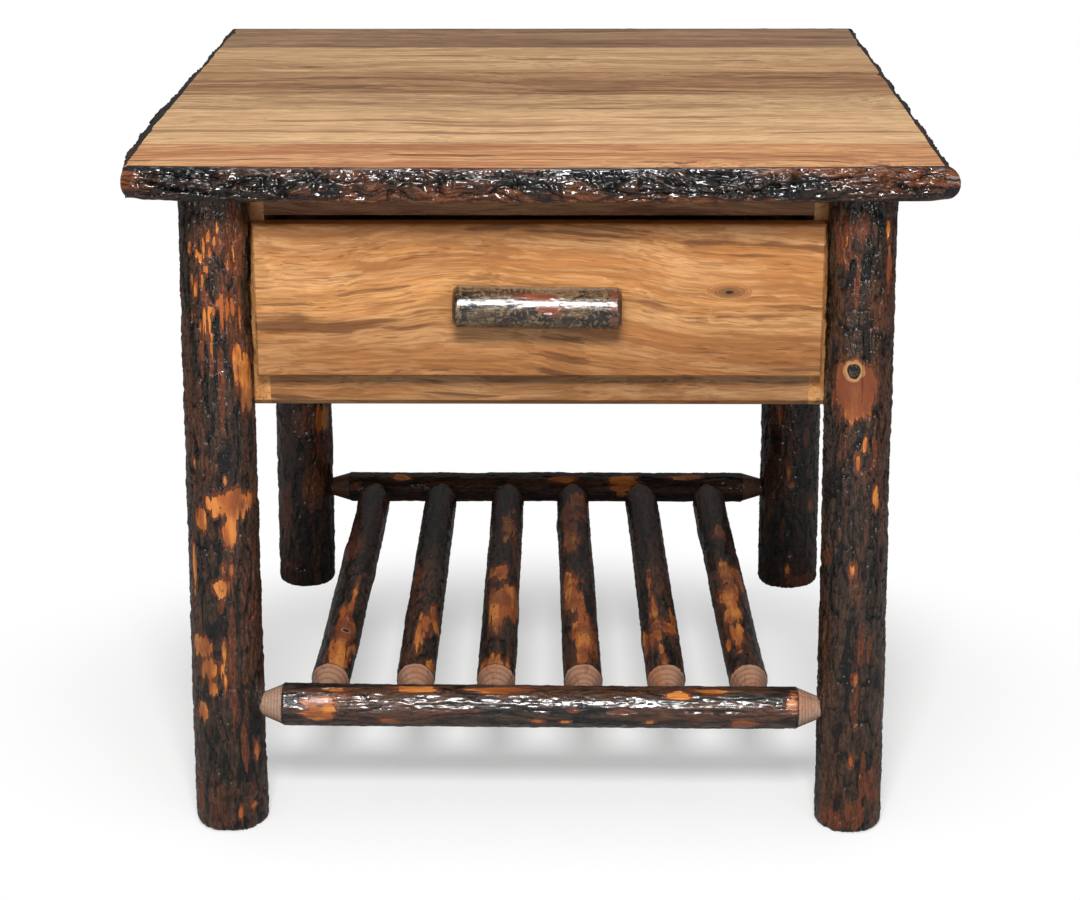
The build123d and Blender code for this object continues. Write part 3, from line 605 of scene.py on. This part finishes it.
# ---- logs
# Places and sizes are in mm, turns in degrees: 0 faces the front, or up on a spindle. A patch is
# (place along, turn, half length, half width, depth), a knot or bump (place along, turn, radius, rise).
LEG_Y = 281.7
# how far the rounded foot draws in, as (height, inset), and how much thinner the leg is at the top
FOOT_ROUND = ((0.0, 5.0), (0.7, 3.2), (2.0, 1.8), (5.0, 0.7))
TOP_INSET = 0.5
# width of the mesh's cells on the front and back legs, by the sign of y
LEG_CELL = {-1: 1.15 * MM, 1: 1.4 * MM}
# foot x, top x, sign of y, foot radius, top radius, sideways bow
LEG_SHAPES = {
    "leg_front_left": (-275.5, -267.3, -1, 32.6, 29.4, -0.7),
    "leg_front_right": (274.8, 266.2, -1, 30.2, 28.4, -0.2),
    "leg_back_left": (-268.6, -261.0, 1, 31.5, 30.0, 0.5),
    "leg_back_right": (270.5, 264.5, 1, 33.0, 31.6, 0.1),
}
LEG_PATCHES = {
    "leg_front_left": [
        (540, 39, 23, 8, 0.6), (520, 45, 9, 6, 0.6), (533, -36, 5, 1.2), (527, -24, 5, 1.2),
        (532, -10, 10, 1.7), (541, -1, 4, 1.2), (529, 0, 5, 1.2), (537, 7, 4, 1.2), (538, 19, 4, 1.8),
        (549, 14, 4, 1.2, 0.8), (523, -15, 4, 1.2), (515, -8, 3, 2.5, 0.7), (504, -35, 5, 1.2, 0.8),
        (504, -14, 6, 1.3), (497, -27, 8, 2, 0.8), (517, 28, 4, 1.2), (493, -7, 2, 1.7),
        (476, -12, 15, 1.2), (474, -4, 12, 1.2), (466, -19, 4, 1.2), (479, 3, 3, 1.2), (486, 10, 3, 1.2),
        (480, 18, 12, 1.7), (479, 27, 11, 1.6), (480, 36, 9, 1.4), (457, -1, 3, 1.2), (446, -2, 10, 1.2),
        (445, -19, 12, 1.2, 0.6), (473, -36, 3, 1.2, 0.8), (470, 49, 15, 1.4, 0.9), (450, 36, 16, 3, 0.6),
        (440, 44, 12, 5), (424, 55, 17, 10), (405, 62, 14, 8), (536, 16, 8, 4, 0.6), (412, 13, 22, 2, 0.5),
        (331, 13, 3, 1.4), (344, -42, 4, 1.4), (514, -6, 4, 1.4), (309, 27, 12, 21), (285, 17, 14, 7),
        (293, -30, 10, 5), (249, -49, 20, 3), (233, 1, 9, 7), (219, 0, 8, 3, 0.6), (251, 6, 4, 1.4),
        (249, 19, 6, 1.4), (176, -40, 9, 10), (174, 4, 7, 1.4), (156, -19, 11, 10), (142, 4, 8, 1.4),
        (140, -17, 7, 5, 0.8), (115, -39, 8, 8, 0.9), (75, 59, 9, 4), (19, 21, 5, 2, 0.8), (23, 47, 2, 3),
        (29, -58, 21, 6, 0.6), (82, 33, 17, 2, 0.5), (169, 17, 36, 2, 0.5), (380, -100, 60, 9, 0.9),
        (240, 150, 50, 14), (480, 190, 60, 12, 0.9), (130, -140, 50, 10, 0.8), (330, 120, 20, 10)],
    "leg_front_right": [
        (551, -9, 10, 5, 0.6), (540, -40, 21, 7, 0.5), (548, 44, 10, 3, 0.9), (519, 48, 19, 3, 0.9),
        (412, -16, 24, 19, 0.75), (397, -15, 12, 14, 0.75), (363, 7, 5, 2), (347, -4, 6, 2),
        (316, 29, 8, 2), (526, -22, 2, 4, 0.6), (501, -13, 15, 2, 0.5), (353, 24, 12, 2, 0.5),
        (310, 33, 6, 2), (250, -8, 7, 2, 0.8), (179, 10, 11, 2, 0.5), (149, 0, 4, 2, 0.8),
        (124, 1, 18, 2, 0.5), (72, -3, 5, 2, 0.9), (67, 21, 7, 2, 0.6), (46, 35, 14, 9, 0.5),
        (20, 10, 12, 7, 0.5), (12, -44, 8, 12, 0.5), (175, 24, 9, 2, 0.5), (258, -62, 6, 5, 0.6),
        (340, 100, 40, 10, 0.9), (200, 150, 60, 12), (470, -160, 60, 12, 0.9), (100, 140, 24, 10, 0.8)],
    "leg_back_left": [
        (197, 5, 13, 12, 0.55), (196, 48, 15, 10, 0.75), (158, 49, 14, 9, 0.45), (86, -45, 31, 8, 0.4),
        (117, 23, 20, 10, 0.4), (26, -30, 2, 6, 0.8), (500, 180, 50, 14), (300, 165, 60, 12, 0.9),
        (120, 120, 40, 12, 0.8), (420, -120, 30, 10, 0.8)],
    "leg_back_right": [
        (201, -27, 10, 3, 0.7), (177, 28, 8, 3, 0.6), (139, -7, 10, 2, 0.7), (123, -1, 3, 3, 0.9),
        (24, -5, 5, 2, 0.9), (7, 31, 7, 13, 0.6), (95, 44, 7, 3, 0.7), (74, -17, 7, 2, 0.6),
        (480, 170, 70, 12, 0.9), (220, 200, 60, 14), (90, 150, 30, 12, 0.8), (360, 110, 30, 9, 0.7)],
}
LEG_KNOTS = {"leg_front_right": [(428, -16, 9, 1.6)], "leg_back_left": [(240, 172, 8, 1.4)]}


def make_legs(materials):
    """Four bark-covered legs with sawn, rounded feet."""
    for index, (node, shape) in enumerate(LEG_SHAPES.items()):
        foot_x, top_x, side, foot_radius, top_radius, bow = shape
        start = (foot_x * MM + BASE_X, side * LEG_Y * MM, 0.0)
        end = (top_x * MM + BASE_X, side * LEG_Y * MM, UNDER_Z)
        outline = [(height * MM, (foot_radius - inset) * MM) for height, inset in FOOT_ROUND]
        outline.append((UNDER_Z, (top_radius - TOP_INSET) * MM))
        piece = log(f"{node}_bark", node, "table", materials[side], start, end, outline, "leg",
                    100 + 13 * index, bow=bow * MM, patches=LEG_PATCHES[node],
                    knots=LEG_KNOTS.get(node, ()), cell=LEG_CELL[side])
        level_ends(piece, 0.0, UNDER_Z)


def level_ends(piece, low, high):
    """Keep a leaning leg's ends level and inside low..high."""
    mesh = piece.data
    flat = np.empty(len(mesh.vertices) * 3)
    mesh.vertices.foreach_get("co", flat)
    flat = flat.reshape(-1, 3)
    flat[:, 2] = np.where(flat[:, 2] < low + 0.5 * MM, low, np.clip(flat[:, 2], low, high))
    flat[:, 2] = np.where(flat[:, 2] > high - 0.5 * MM, high, flat[:, 2])
    mesh.vertices.foreach_set("co", flat.ravel())
    mesh.update()


def pointed(length, tenon, cone, radius, thin, step):
    """Outline of a log with a tenon and a cone at each end, and its turned stretches."""
    turned, corner = tenon + cone, 0.6
    outline = [(0, thin), (tenon, thin), (turned, radius - step), (turned + corner, radius),
               (length - turned - corner, radius), (length - turned, radius - step),
               (length - tenon, thin), (length, thin)]
    cut = [(-1 * MM, turned * MM), ((length - turned) * MM, (length + 1) * MM)]
    return [(d * MM, r * MM) for d, r in outline], cut


STRETCHER_CONE, STRETCHER_TENON_RADIUS, STRETCHER_STEP = 20.0, 9.5, 0.6
STRETCHERS = {
    # z at the left and the right end, radius, half length between shoulders, half length over tenons,
    # sign of y, patches, knots
    "front": (111.2, 108.8, 18.4, 246.0, 256.0, -1, [
        (64, -13, 14, 13), (148, -80, 18, 4, 0.9), (218, -77, 27, 4, 0.8), (72, -72, 12, 2, 0.7),
        (125, 23, 7, 3, 0.7), (254, 25, 7, 3, 0.9), (81, -51, 7, 3, 0.6), (378, -59, 11, 4),
        (407, -75, 14, 4, 0.7), (277, 24, 4, 2, 0.9), (352, 22, 4, 2, 0.9), (434, 30, 10, 6, 0.9),
        (286, -16, 4, 2, 0.6), (329, -13, 8, 2, 0.5), (478, -38, 5, 7, 0.8), (200, 150, 40, 12, 0.9),
        (380, 130, 50, 10, 0.8)],
        [(330, 50, 3.0, 0.8)]),
    "back": (109.4, 109.4, 16.0, 237.0, 250.0, 1, [
        (90, -60, 9, 4, 0.8), (269, -52, 13, 4, 0.9), (336, -37, 15, 10), (41, -24, 5, 4, 0.5),
        (333, -38, 13, 7), (334, -5, 5, 6), (407, -69, 17, 5, 0.8), (271, -46, 10, 3, 0.9),
        (160, 170, 50, 12, 0.9), (380, 160, 40, 14, 0.8)],
        []),
}


def make_stretchers(materials):
    """Front and back stretchers with turned, pencil-pointed ends."""
    for index, (place, shape) in enumerate(STRETCHERS.items()):
        left_z, right_z, radius, shoulder, reach, side, patches, knots = shape
        outline, cut = pointed(2 * reach, reach - shoulder, STRETCHER_CONE, radius, STRETCHER_TENON_RADIUS,
                               STRETCHER_STEP)
        start = (BASE_X - reach * MM, side * LEG_Y * MM, left_z * MM)
        end = (BASE_X + reach * MM, side * LEG_Y * MM, right_z * MM)
        log(f"stretcher_{place}_bark", f"stretcher_{place}", "table", materials[place], start, end, outline,
            "stretcher", 300 + 17 * index, bow=0.8 * MM, patches=patches, knots=knots, cell=1.1 * MM,
            turned_ends=cut)


SPINDLE_END_Y = 273.7
SPINDLE_FRONT_Z, SPINDLE_BACK_Z = 110.0, 109.4
SPINDLE_TENON, SPINDLE_CONE = 11.9, 31.0
SPINDLE_RADIUS, SPINDLE_TENON_RADIUS, SPINDLE_STEP = 17.4, 7.0, 0.5
# the slimmer back end, as (distance from the end, radius), and how much of it is turned bare
SPINDLE_BACK_END = ((40, 17.2), (28, 15.2), (16, 10.0), (0, 7.0))
SPINDLE_BACK_CUT = 17
SPINDLES = [
    # x in front, x at the back, sideways bow, patches, knots, bumps
    (-191.2, -187.6, 2.2, [
        (187, 23, 37, 2), (114, 20, 35, 9), (75, 16, 35, 10), (47, 26, 16, 8), (157, -3, 20, 3),
        (436, 70, 29, 8, 0.55), (342, -33, 37, 10, 0.5), (98, 68, 10, 4, 0.8), (250, 170, 40, 9, 0.9)],
        [(120, 23, 5, 0.5)], [(344, -40, 13, 1.8), (300, 95, 10, 1.2)]),
    (-112.3, -113.9, -0.8, [
        (167, 40, 18, 4), (133, 17, 19, 7), (112, 2, 32, 5), (49, 50, 13, 7), (146, 51, 14, 7, 0.9),
        (265, -42, 25, 3, 0.6), (350, 180, 40, 9, 0.9)],
        [], [(147, 30, 5, 0.7), (180, -85, 12, 0.8)]),
    (-40.6, -41.6, 0.8, [
        (262, -10, 18, 8, 0.9), (392, 16, 39, 8, 0.7), (190, 20, 37, 13), (192, 50, 38, 10),
        (155, -5, 33, 6), (177, -30, 42, 2), (38, -19, 21, 11, 0.9), (48, 5, 13, 3), (44, 39, 16, 2),
        (343, 48, 44, 4, 0.6), (300, 160, 50, 9, 0.8)],
        [], [(200, 75, 12, 0.9)]),
    (39.6, 29.4, -0.9, [
        (439, 0, 32, 14, 0.7), (461, 38, 37, 12, 0.75), (357, -19, 48, 9, 0.75), (242, -42, 29, 6),
        (206, -26, 38, 9), (150, 4, 42, 5), (106, 13, 49, 10), (99, 46, 28, 4), (61, 3, 21, 6),
        (200, 180, 50, 9, 0.9)],
        [(445, 42, 2.6, 0.5)], [(430, -80, 12, 1.5), (150, 2, 5, 0.5)]),
    (113.7, 103.1, 0.9, [
        (243, -19, 13, 2), (170, -15, 32, 3), (124, -14, 26, 6), (160, -29, 13, 2), (126, 23, 19, 8),
        (158, 55, 15, 6), (105, -37, 15, 2), (75, -11, 13, 2), (51, -4, 11, 2), (109, -63, 22, 5, 0.7),
        (268, -16, 3, 2), (330, 170, 40, 9, 0.9)],
        [(129, -9, 2.2, 0.5)], [(130, -90, 12, 1.2)]),
    (189.3, 177.4, -1.6, [
        (372, 1, 17, 5, 0.8), (262, -4, 25, 9, 0.65), (208, -13, 28, 10, 0.8), (165, -10, 27, 8, 0.85),
        (116, -16, 21, 8, 0.8), (102, -48, 11, 4, 0.7), (73, -17, 3, 2), (33, -48, 10, 4, 0.8),
        (246, 38, 24, 5, 0.7), (180, 190, 60, 9, 0.8)],
        [(237, -11, 3.4, 0.9)], [(230, -10, 14, 1.4), (420, -85, 12, 0.9)]),
]


def make_spindles(material):
    """Six shelf logs, turned down to a tenon at each end."""
    for index, (front_x, back_x, bow, patches, knots, bumps) in enumerate(SPINDLES):
        start = Vector((front_x + BASE_X / MM, -SPINDLE_END_Y, SPINDLE_FRONT_Z)) * MM
        end = Vector((back_x + BASE_X / MM, SPINDLE_END_Y, SPINDLE_BACK_Z)) * MM
        length = (end - start).length
        outline, cut = pointed(length / MM, SPINDLE_TENON, SPINDLE_CONE, SPINDLE_RADIUS,
                               SPINDLE_TENON_RADIUS, SPINDLE_STEP)
        outline[-4:] = [(length - back * MM, radius * MM) for back, radius in SPINDLE_BACK_END]
        cut[1] = (length - SPINDLE_BACK_CUT * MM, length + 1 * MM)
        log(f"spindle_{index + 1}_bark", f"spindle_{index + 1}", "table", material, start, end, outline,
            "spindle", 500 + 19 * index, upright=(0, 0, 1), bow=bow * MM, patches=patches, knots=knots,
            bumps=bumps, turned_ends=cut)


HANDLE_LENGTH, HANDLE_RADIUS, HANDLE_BEVEL = 139.0 * MM, 17.8 * MM, 3.0 * MM
HANDLE_TILT = math.radians(0.8)
# the handle's axis lies this far behind its foremost point
HANDLE_AXIS_BACK = 17.35 * MM
HANDLE_PATCHES = [
    (77, -21, 10, 6, 0.9), (72, -48, 13, 3, 0.9), (135, -35, 3, 11, 0.4), (30, 170, 12, 8, 0.8)]
HANDLE_KNOTS = [(78, -26, 2.3, 0.3)]


def make_handle(material):
    """Short log pull with bevelled ends."""
    low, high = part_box("handle")
    centre = Vector(((low[0] + high[0]) / 2, low[1] + HANDLE_AXIS_BACK, (low[2] + high[2]) / 2))
    half = 0.5 * HANDLE_LENGTH
    reach = Vector((half * math.cos(HANDLE_TILT), 0, -half * math.sin(HANDLE_TILT)))
    rounding = [(0, HANDLE_BEVEL), (HANDLE_BEVEL, 0.3 * MM), (HANDLE_BEVEL + 0.5 * MM, 0)]
    outline = [(along, HANDLE_RADIUS - inset) for along, inset in rounding]
    outline += [(HANDLE_LENGTH - along, HANDLE_RADIUS - inset) for along, inset in reversed(rounding)]
    cut = [(-1 * MM, HANDLE_BEVEL), (HANDLE_LENGTH - HANDLE_BEVEL, HANDLE_LENGTH + 1 * MM)]
    log("handle_bark", "handle", "drawer", material, centre - reach, centre + reach, outline, "handle", 700,
        patches=HANDLE_PATCHES, knots=HANDLE_KNOTS, cell=0.9 * MM, turned_ends=cut)


# ---- bark edging of the top
EDGE_DEPTH = 10 * MM
EDGE_HALF = 14.25 * MM
# The left edge of the boards runs inwards in front of a line, by this much at the front corner.
LEFT_TAPER, LEFT_TAPER_Y, LEFT_TAPER_LENGTH = 3.5 * MM, -200 * MM, 138.5 * MM
# Shares of a slab's outline: all of it but its inner side, and of that, the lip that lies on the boards.
FACE_SHARE, LIP_SHARE = 0.85, 0.09
FACE_GIRTH = 40 * MM
# the pattern repeats past this girth, which is more than a slab's
PATTERN_GIRTH = 240 * MM
EDGE_COLUMNS, EDGE_CELL = 54, 0.95 * MM
# How far each slab's low and high end runs past the corner of the boards, in mm.
END_REACH = {"front": (-1.7, 11.0), "back": (8.0, 8.0), "left": (3.0, 8.0), "right": (6.0, 8.0)}
# How far in, in mm, the upper and lower rim of a slab begin at its low end.
END_INSET = {"front": 7.0, "back": 0.0, "left": 0.0, "right": 0.0}
# How far the side barks stand out beyond the boards, in mm, at places from front to back in mm.
SIDE_REACH = {
    "left": ((-345, 1.5), (-320, 3), (-300, 6), (-262, 9), (-230, 8), (-180, 11), (-130, 12), (-90, 13),
             (-40, 11), (0, 9), (60, 9), (120, 8), (180, 9), (230, 7), (280, 8), (345, 6)),
    "right": ((-345, 7), (-290, 9), (-230, 8), (-150, 9), (-90, 9), (-30, 7), (20, 9), (70, 6), (120, 8),
              (170, 5), (230, 7), (290, 4), (345, 5)),
}


def front_line(x):
    """How far the bowed front edge of the boards stands behind its middle, at x."""
    radius = (FIELD_X ** 2 + FRONT_SAG ** 2) / (2 * FRONT_SAG)
    return radius - np.sqrt(radius ** 2 - np.minimum(np.abs(x), 1.1 * FIELD_X) ** 2)


def make_edging(side, material, seed):
    """One bark slab along an edge: a wavy lip on the boards, a rough round face, mitred ends."""
    if side in ("left", "right"):
        low, high = FIELD_FRONT + FRONT_SAG, FIELD_BACK
    else:
        low, high = -FIELD_X, FIELD_X
    length = high - low
    mesh, x, y = unrolled(EDGE_COLUMNS, round(length / EDGE_CELL))
    along = y * length
    # x runs from the lip on the boards round the face to the underside, then back through the inside
    arc = np.clip(x / FACE_SHARE, 0, 1)
    lip = np.clip(arc / LIP_SHARE, 0, 1)
    swing = math.pi * (0.5 - np.clip((arc - LIP_SHARE) / (1 - LIP_SHARE), 0, 1))
    wave = layered(along / (34 * MM), 0 * along + 0.5, seed, 4096, 4)
    lip_reach = (1.3 + 1.5 * wave + 2.2 * ramp(wave, 0.45, 0.7)) * MM
    depth = EDGE_DEPTH * np.ones(len(x))
    if side in SIDE_REACH:
        places, reaches = zip(*SIDE_REACH[side])
        depth = np.interp(low + along, np.array(places) * MM, np.array(reaches) * MM)
    on_lip = arc < LIP_SHARE
    nose = np.where(on_lip, 0.0, np.cos(swing))
    rise = np.where(on_lip, 1.0, np.sin(swing))
    relief, tall, tone = bark_relief(arc * FACE_GIRTH + 3 * MM, along, PATTERN_GIRTH, BARK_LOOKS["edging"],
                                     seed)
    swell = 1.5 * MM * layered(along / (60 * MM), arc * 1.5, seed + 5, 4096, 2)
    ends = ramp(along, 2 * MM, 22 * MM) * (1 - ramp(along, length - 22 * MM, length - 2 * MM))
    rim = ramp(arc, LIP_SHARE, LIP_SHARE + 0.20) * (1 - ramp(arc, 0.90, 1.0)) * (0.08 + 0.92 * ends)
    push = rim * (relief * (0.55 + 0.45 * ramp(arc, 0.95, 0.65)) + swell)
    out = np.where(on_lip, -lip_reach * (1 - lip), depth * nose) + push * np.maximum(nose, 0.15)
    crown = 0.15 * MM
    height = np.where(on_lip, crown * np.sin(lip * math.pi / 2), crown - EDGE_HALF * (1 - rise))
    height = height + 0.55 * push * rise
    inside = np.clip((x - FACE_SHARE) / (1 - FACE_SHARE), 0, 1)
    is_inside = x > FACE_SHARE
    out = np.where(is_inside, -lip_reach * ramp(inside, 0.5, 1.0) - 0.4 * MM * np.sin(math.pi * inside), out)
    height = np.where(is_inside, -2 * EDGE_HALF * (1 - inside), height)
    seam = (x >= 1.0) | (x <= 0.0)
    out, height = np.where(seam, -lip_reach, out), np.where(seam, 0.0, height)
    outward = nose * (1 - is_inside)
    from_low, to_high = [reach * MM * outward for reach in END_REACH[side]]
    from_low = from_low - END_INSET[side] * MM * (1 - outward) * (1.0 + 0.3 * ramp(-rise, 0.0, 1.0))
    place = low - from_low + (length + from_low + to_high) * y
    tuck = 1 - ramp(along, 0.0, 14 * MM) * (1 - ramp(along, length - 14 * MM, length))
    out = out - np.where(is_inside, 0.0, 2.5 * MM * tuck * nose)
    height = height * (1 - 0.05 * tuck)
    if side == "front":
        height = height * (1 - 0.04 * (1 - ramp(along, 0.0, 80 * MM)))
    if side == "left":
        taper = LEFT_TAPER * np.maximum(0, (LEFT_TAPER_Y - place) / LEFT_TAPER_LENGTH)
        points = np.stack([-FIELD_X + taper - out, place, TOP_Z + height], axis=1)
    elif side == "right":
        points = np.stack([FIELD_X + out, place, TOP_Z + height], axis=1)
    elif side == "back":
        points = np.stack([place, FIELD_BACK + out, TOP_Z + height], axis=1)
    else:
        points = np.stack([place, FIELD_FRONT + front_line(place) - out, TOP_Z + height], axis=1)
    tall = np.where(on_lip, 0.55, tall) - 0.25 * (1 - ramp(arc, 0.0, 0.2))
    channels = np.stack([tall, -np.ones(len(x)), tone, np.full(len(x), 9.0)], axis=1)
    wrapped(f"edging_{side}_bark", mesh, points, channels, f"edging_{side}", "table", material)


# ---- stage, light and camera
def make_stage():
    """Pale floor that keeps the table's shadow and fades into a white surround."""
    bm = bmesh.new()
    bmesh.ops.create_circle(bm, cap_ends=True, segments=96, radius=2.6)
    bmesh.ops.translate(bm, verts=bm.verts, vec=(0, 0.1, -0.3 * MM))
    mesh = bpy.data.meshes.new("floor")
    bm.to_mesh(mesh)
    bm.free()
    floor = bpy.data.objects.new("floor", mesh)
    bpy.context.scene.collection.objects.link(floor)
    material, tree, shader, add = graph("floor_white")
    feed(tree, shader, {"Base Color": (0.55, 0.55, 0.55, 1), "Roughness": 0.9, "Specular IOR Level": 0.0})
    glow = add("Emission", {"Color": (1, 1, 1, 1), "Strength": 0.42})
    both = add("AddShader", {0: shader.outputs[0], 1: glow.outputs[0]})
    white = add("Emission", {"Color": (1, 1, 1, 1), "Strength": 1.0})
    where = add("TexCoord").outputs["Object"]
    placed = add("Mapping", {"Vector": where, "Location": (0, 0.10, 0), "Scale": (0.72, 1, 1)})
    apart = add("VectorMath", {0: placed.outputs[0]}, operation="LENGTH").outputs["Value"]
    share = stepped(add, apart, 0.26, 0.50)
    fading = add("MixShader", {0: share, 1: both.outputs[0], 2: white.outputs[0]})
    seen = add("LightPath").outputs["Is Camera Ray"]
    dull = add("BsdfDiffuse", {"Color": (0.30, 0.30, 0.30, 1)})
    pick = add("MixShader", {0: seen, 1: dull.outputs[0], 2: fading.outputs[0]})
    tree.links.new(pick.outputs[0], tree.nodes["Material Output"].inputs[0])
    mesh.materials.append(material)


def make_world(low, high):
    """White surround for the camera; for lighting, dimmer near the horizon than overhead."""
    world = bpy.data.worlds.new("surround")
    bpy.context.scene.world = world
    world.use_nodes = True
    tree = world.node_tree
    add = adder(tree)
    parts = add("SeparateXYZ", {0: add("TexCoord").outputs["Generated"]})
    climb = add("MapRange", {"Value": parts.outputs["Z"], "From Min": 0.25, "From Max": 0.85,
                             "To Min": low, "To Max": high}).outputs[0]
    plain = add("Background", {0: (1, 1, 1, 1), 1: climb}).outputs[0]
    white = add("Background", {0: (1, 1, 1, 1), 1: 1.0}).outputs[0]
    seen = add("LightPath").outputs["Is Camera Ray"]
    pick = add("MixShader", {0: seen, 1: plain, 2: white}).outputs[0]
    tree.links.new(pick, tree.nodes["World Output"].inputs[0])


def softbox(name, location, target, width, height, power):
    """Rectangular area light aimed at a point."""
    light = bpy.data.lights.new(name, "AREA")
    light.shape = "RECTANGLE"
    light.size, light.size_y, light.energy = width, height, power
    lamp = bpy.data.objects.new(name, light)
    lamp.location = location
    lamp.rotation_euler = (Vector(target) - Vector(location)).to_track_quat("-Z", "Y").to_euler()
    bpy.context.scene.collection.objects.link(lamp)


def make_light():
    """A key above and in front, one overhead, and a low fill from each side."""
    middle = (0, -0.2, 0.42)
    softbox("key", (0.0, -2.00, 1.80), middle, 0.60, 0.45, 58)
    softbox("overhead", (0, 0.0, 2.7), (0, 0, 0.5), 1.3, 1.3, 20)
    softbox("fill_left", (-0.9, -2.5, 0.75), middle, 0.7, 0.7, 7)
    softbox("fill_right", (1.1, -2.4, 0.75), middle, 0.7, 0.7, 8)


FOCAL_PX, IMAGE_WIDE_PX, IMAGE_HIGH_PX, AXIS_ROW_PX = 2350.0, 1080.0, 900.0, 400.0
CAMERA_AT = Vector((29.3, -2169.3, 1006.4)) * MM
YAW, PITCH, ROLL = math.radians(-0.729), math.radians(17.995), math.radians(-0.137)


def make_camera():
    """Camera in front of the table, a little above it."""
    data = bpy.data.cameras.new("camera")
    data.sensor_width = 36.0
    data.sensor_fit = "HORIZONTAL"
    data.lens = FOCAL_PX / IMAGE_WIDE_PX * data.sensor_width
    data.shift_y = -(IMAGE_HIGH_PX / 2 - AXIS_ROW_PX) / IMAGE_WIDE_PX
    camera = bpy.data.objects.new("camera", data)
    forward = Vector((math.sin(YAW) * math.cos(PITCH), math.cos(YAW) * math.cos(PITCH), -math.sin(PITCH)))
    level = Vector((math.cos(YAW), -math.sin(YAW), 0))
    rise = level.cross(forward)
    right = math.cos(ROLL) * level + math.sin(ROLL) * rise
    up = -math.sin(ROLL) * level + math.cos(ROLL) * rise
    turn = Matrix((right, up, -forward)).transposed().to_4x4()
    camera.matrix_world = Matrix.Translation(CAMERA_AT) @ turn
    bpy.context.scene.collection.objects.link(camera)
    bpy.context.scene.camera = camera


# ---- build
BARK_TONES = dict(dark=rgb(10, 7, 5), mid=rgb(66, 48, 35), ridge=rgb(98, 56, 33), inner=rgb(110, 57, 32),
                  flesh=rgb(164, 86, 36), flesh_pale=rgb(206, 128, 58))
# darker copy of the bark tones for the back legs and back stretcher: painted shade for their place behind and
# under the table
BACK_SHADED_TONES = dict(BARK_TONES, dark=rgb(12, 7, 5), mid=rgb(54, 33, 20), ridge=rgb(88, 48, 26))
EDGING_TONES = dict(dark=rgb(5, 3, 2), mid=rgb(48, 30, 19), ridge=rgb(120, 66, 34), inner=rgb(104, 54, 30),
                    flesh=rgb(150, 84, 46), flesh_pale=rgb(196, 124, 70))
# darker copy of the edging tones for the left and right slabs: painted shade for the sides, which catch less
# light
SIDE_SHADED_TONES = dict(EDGING_TONES, mid=rgb(30, 18, 11), ridge=rgb(70, 36, 18))
HANDLE_TONES = dict(dark=rgb(34, 25, 17), mid=rgb(86, 70, 50), ridge=rgb(136, 108, 74),
                    inner=rgb(116, 60, 40), flesh=rgb(128, 62, 42), flesh_pale=rgb(160, 92, 62),
                    turned_wood=rgb(56, 36, 24))

finish_boards()
finish_case()
finish_metal()
make_legs({
    -1: bark("front_leg_bark", "z", **BARK_TONES, gloss=1.0, bump_size=0.9),
    # back legs: the darker, painted-shade copy of the bark tones
    1: bark("back_leg_bark_shaded", "z", **BACK_SHADED_TONES, gloss=1.0, bump_size=0.8)})
make_stretchers({
    "front": bark("front_stretcher_bark", "x", **BARK_TONES, gloss=1.0, roughness=0.34, sheen=0.3,
                  rings=110.0, lacquer=0.20, ripple=230.0),
    # back stretcher: painted-shade bark tones, and turned ends painted dark as shade for cones that face away
    # from the light
    "back": bark("back_stretcher_bark_shaded", "x", **BACK_SHADED_TONES, turned_wood=rgb(92, 62, 46))})
make_spindles(bark("spindle_bark", "y", **BARK_TONES, turned_wood=rgb(168, 126, 102), gloss=0.7,
                   bump_size=0.45, rings=48.0))
make_handle(bark("handle_bark", "x", **HANDLE_TONES, gloss=1.0, roughness=0.30, sheen=0.5, bump_size=0.13,
                 lacquer=0.26, ripple=420.0, speckle=0.9))
for number, (edge, axis) in enumerate((("front", "x"), ("back", "x"), ("left", "y"), ("right", "y"))):
    # left and right slabs take the darker, painted-shade copy of the edging tones
    tones = EDGING_TONES if axis == "x" else SIDE_SHADED_TONES
    slab_bark = bark(f"edging_bark_{edge}", axis, **tones, warm=0.7, gloss=0.9, bump_size=0.9, ripple=210.0)
    make_edging(edge, slab_bark, 900 + 31 * number)

make_stage()
make_world(0.08, 0.36)
make_light()
make_camera()
bpy.context.scene.view_settings.view_transform = "Standard"
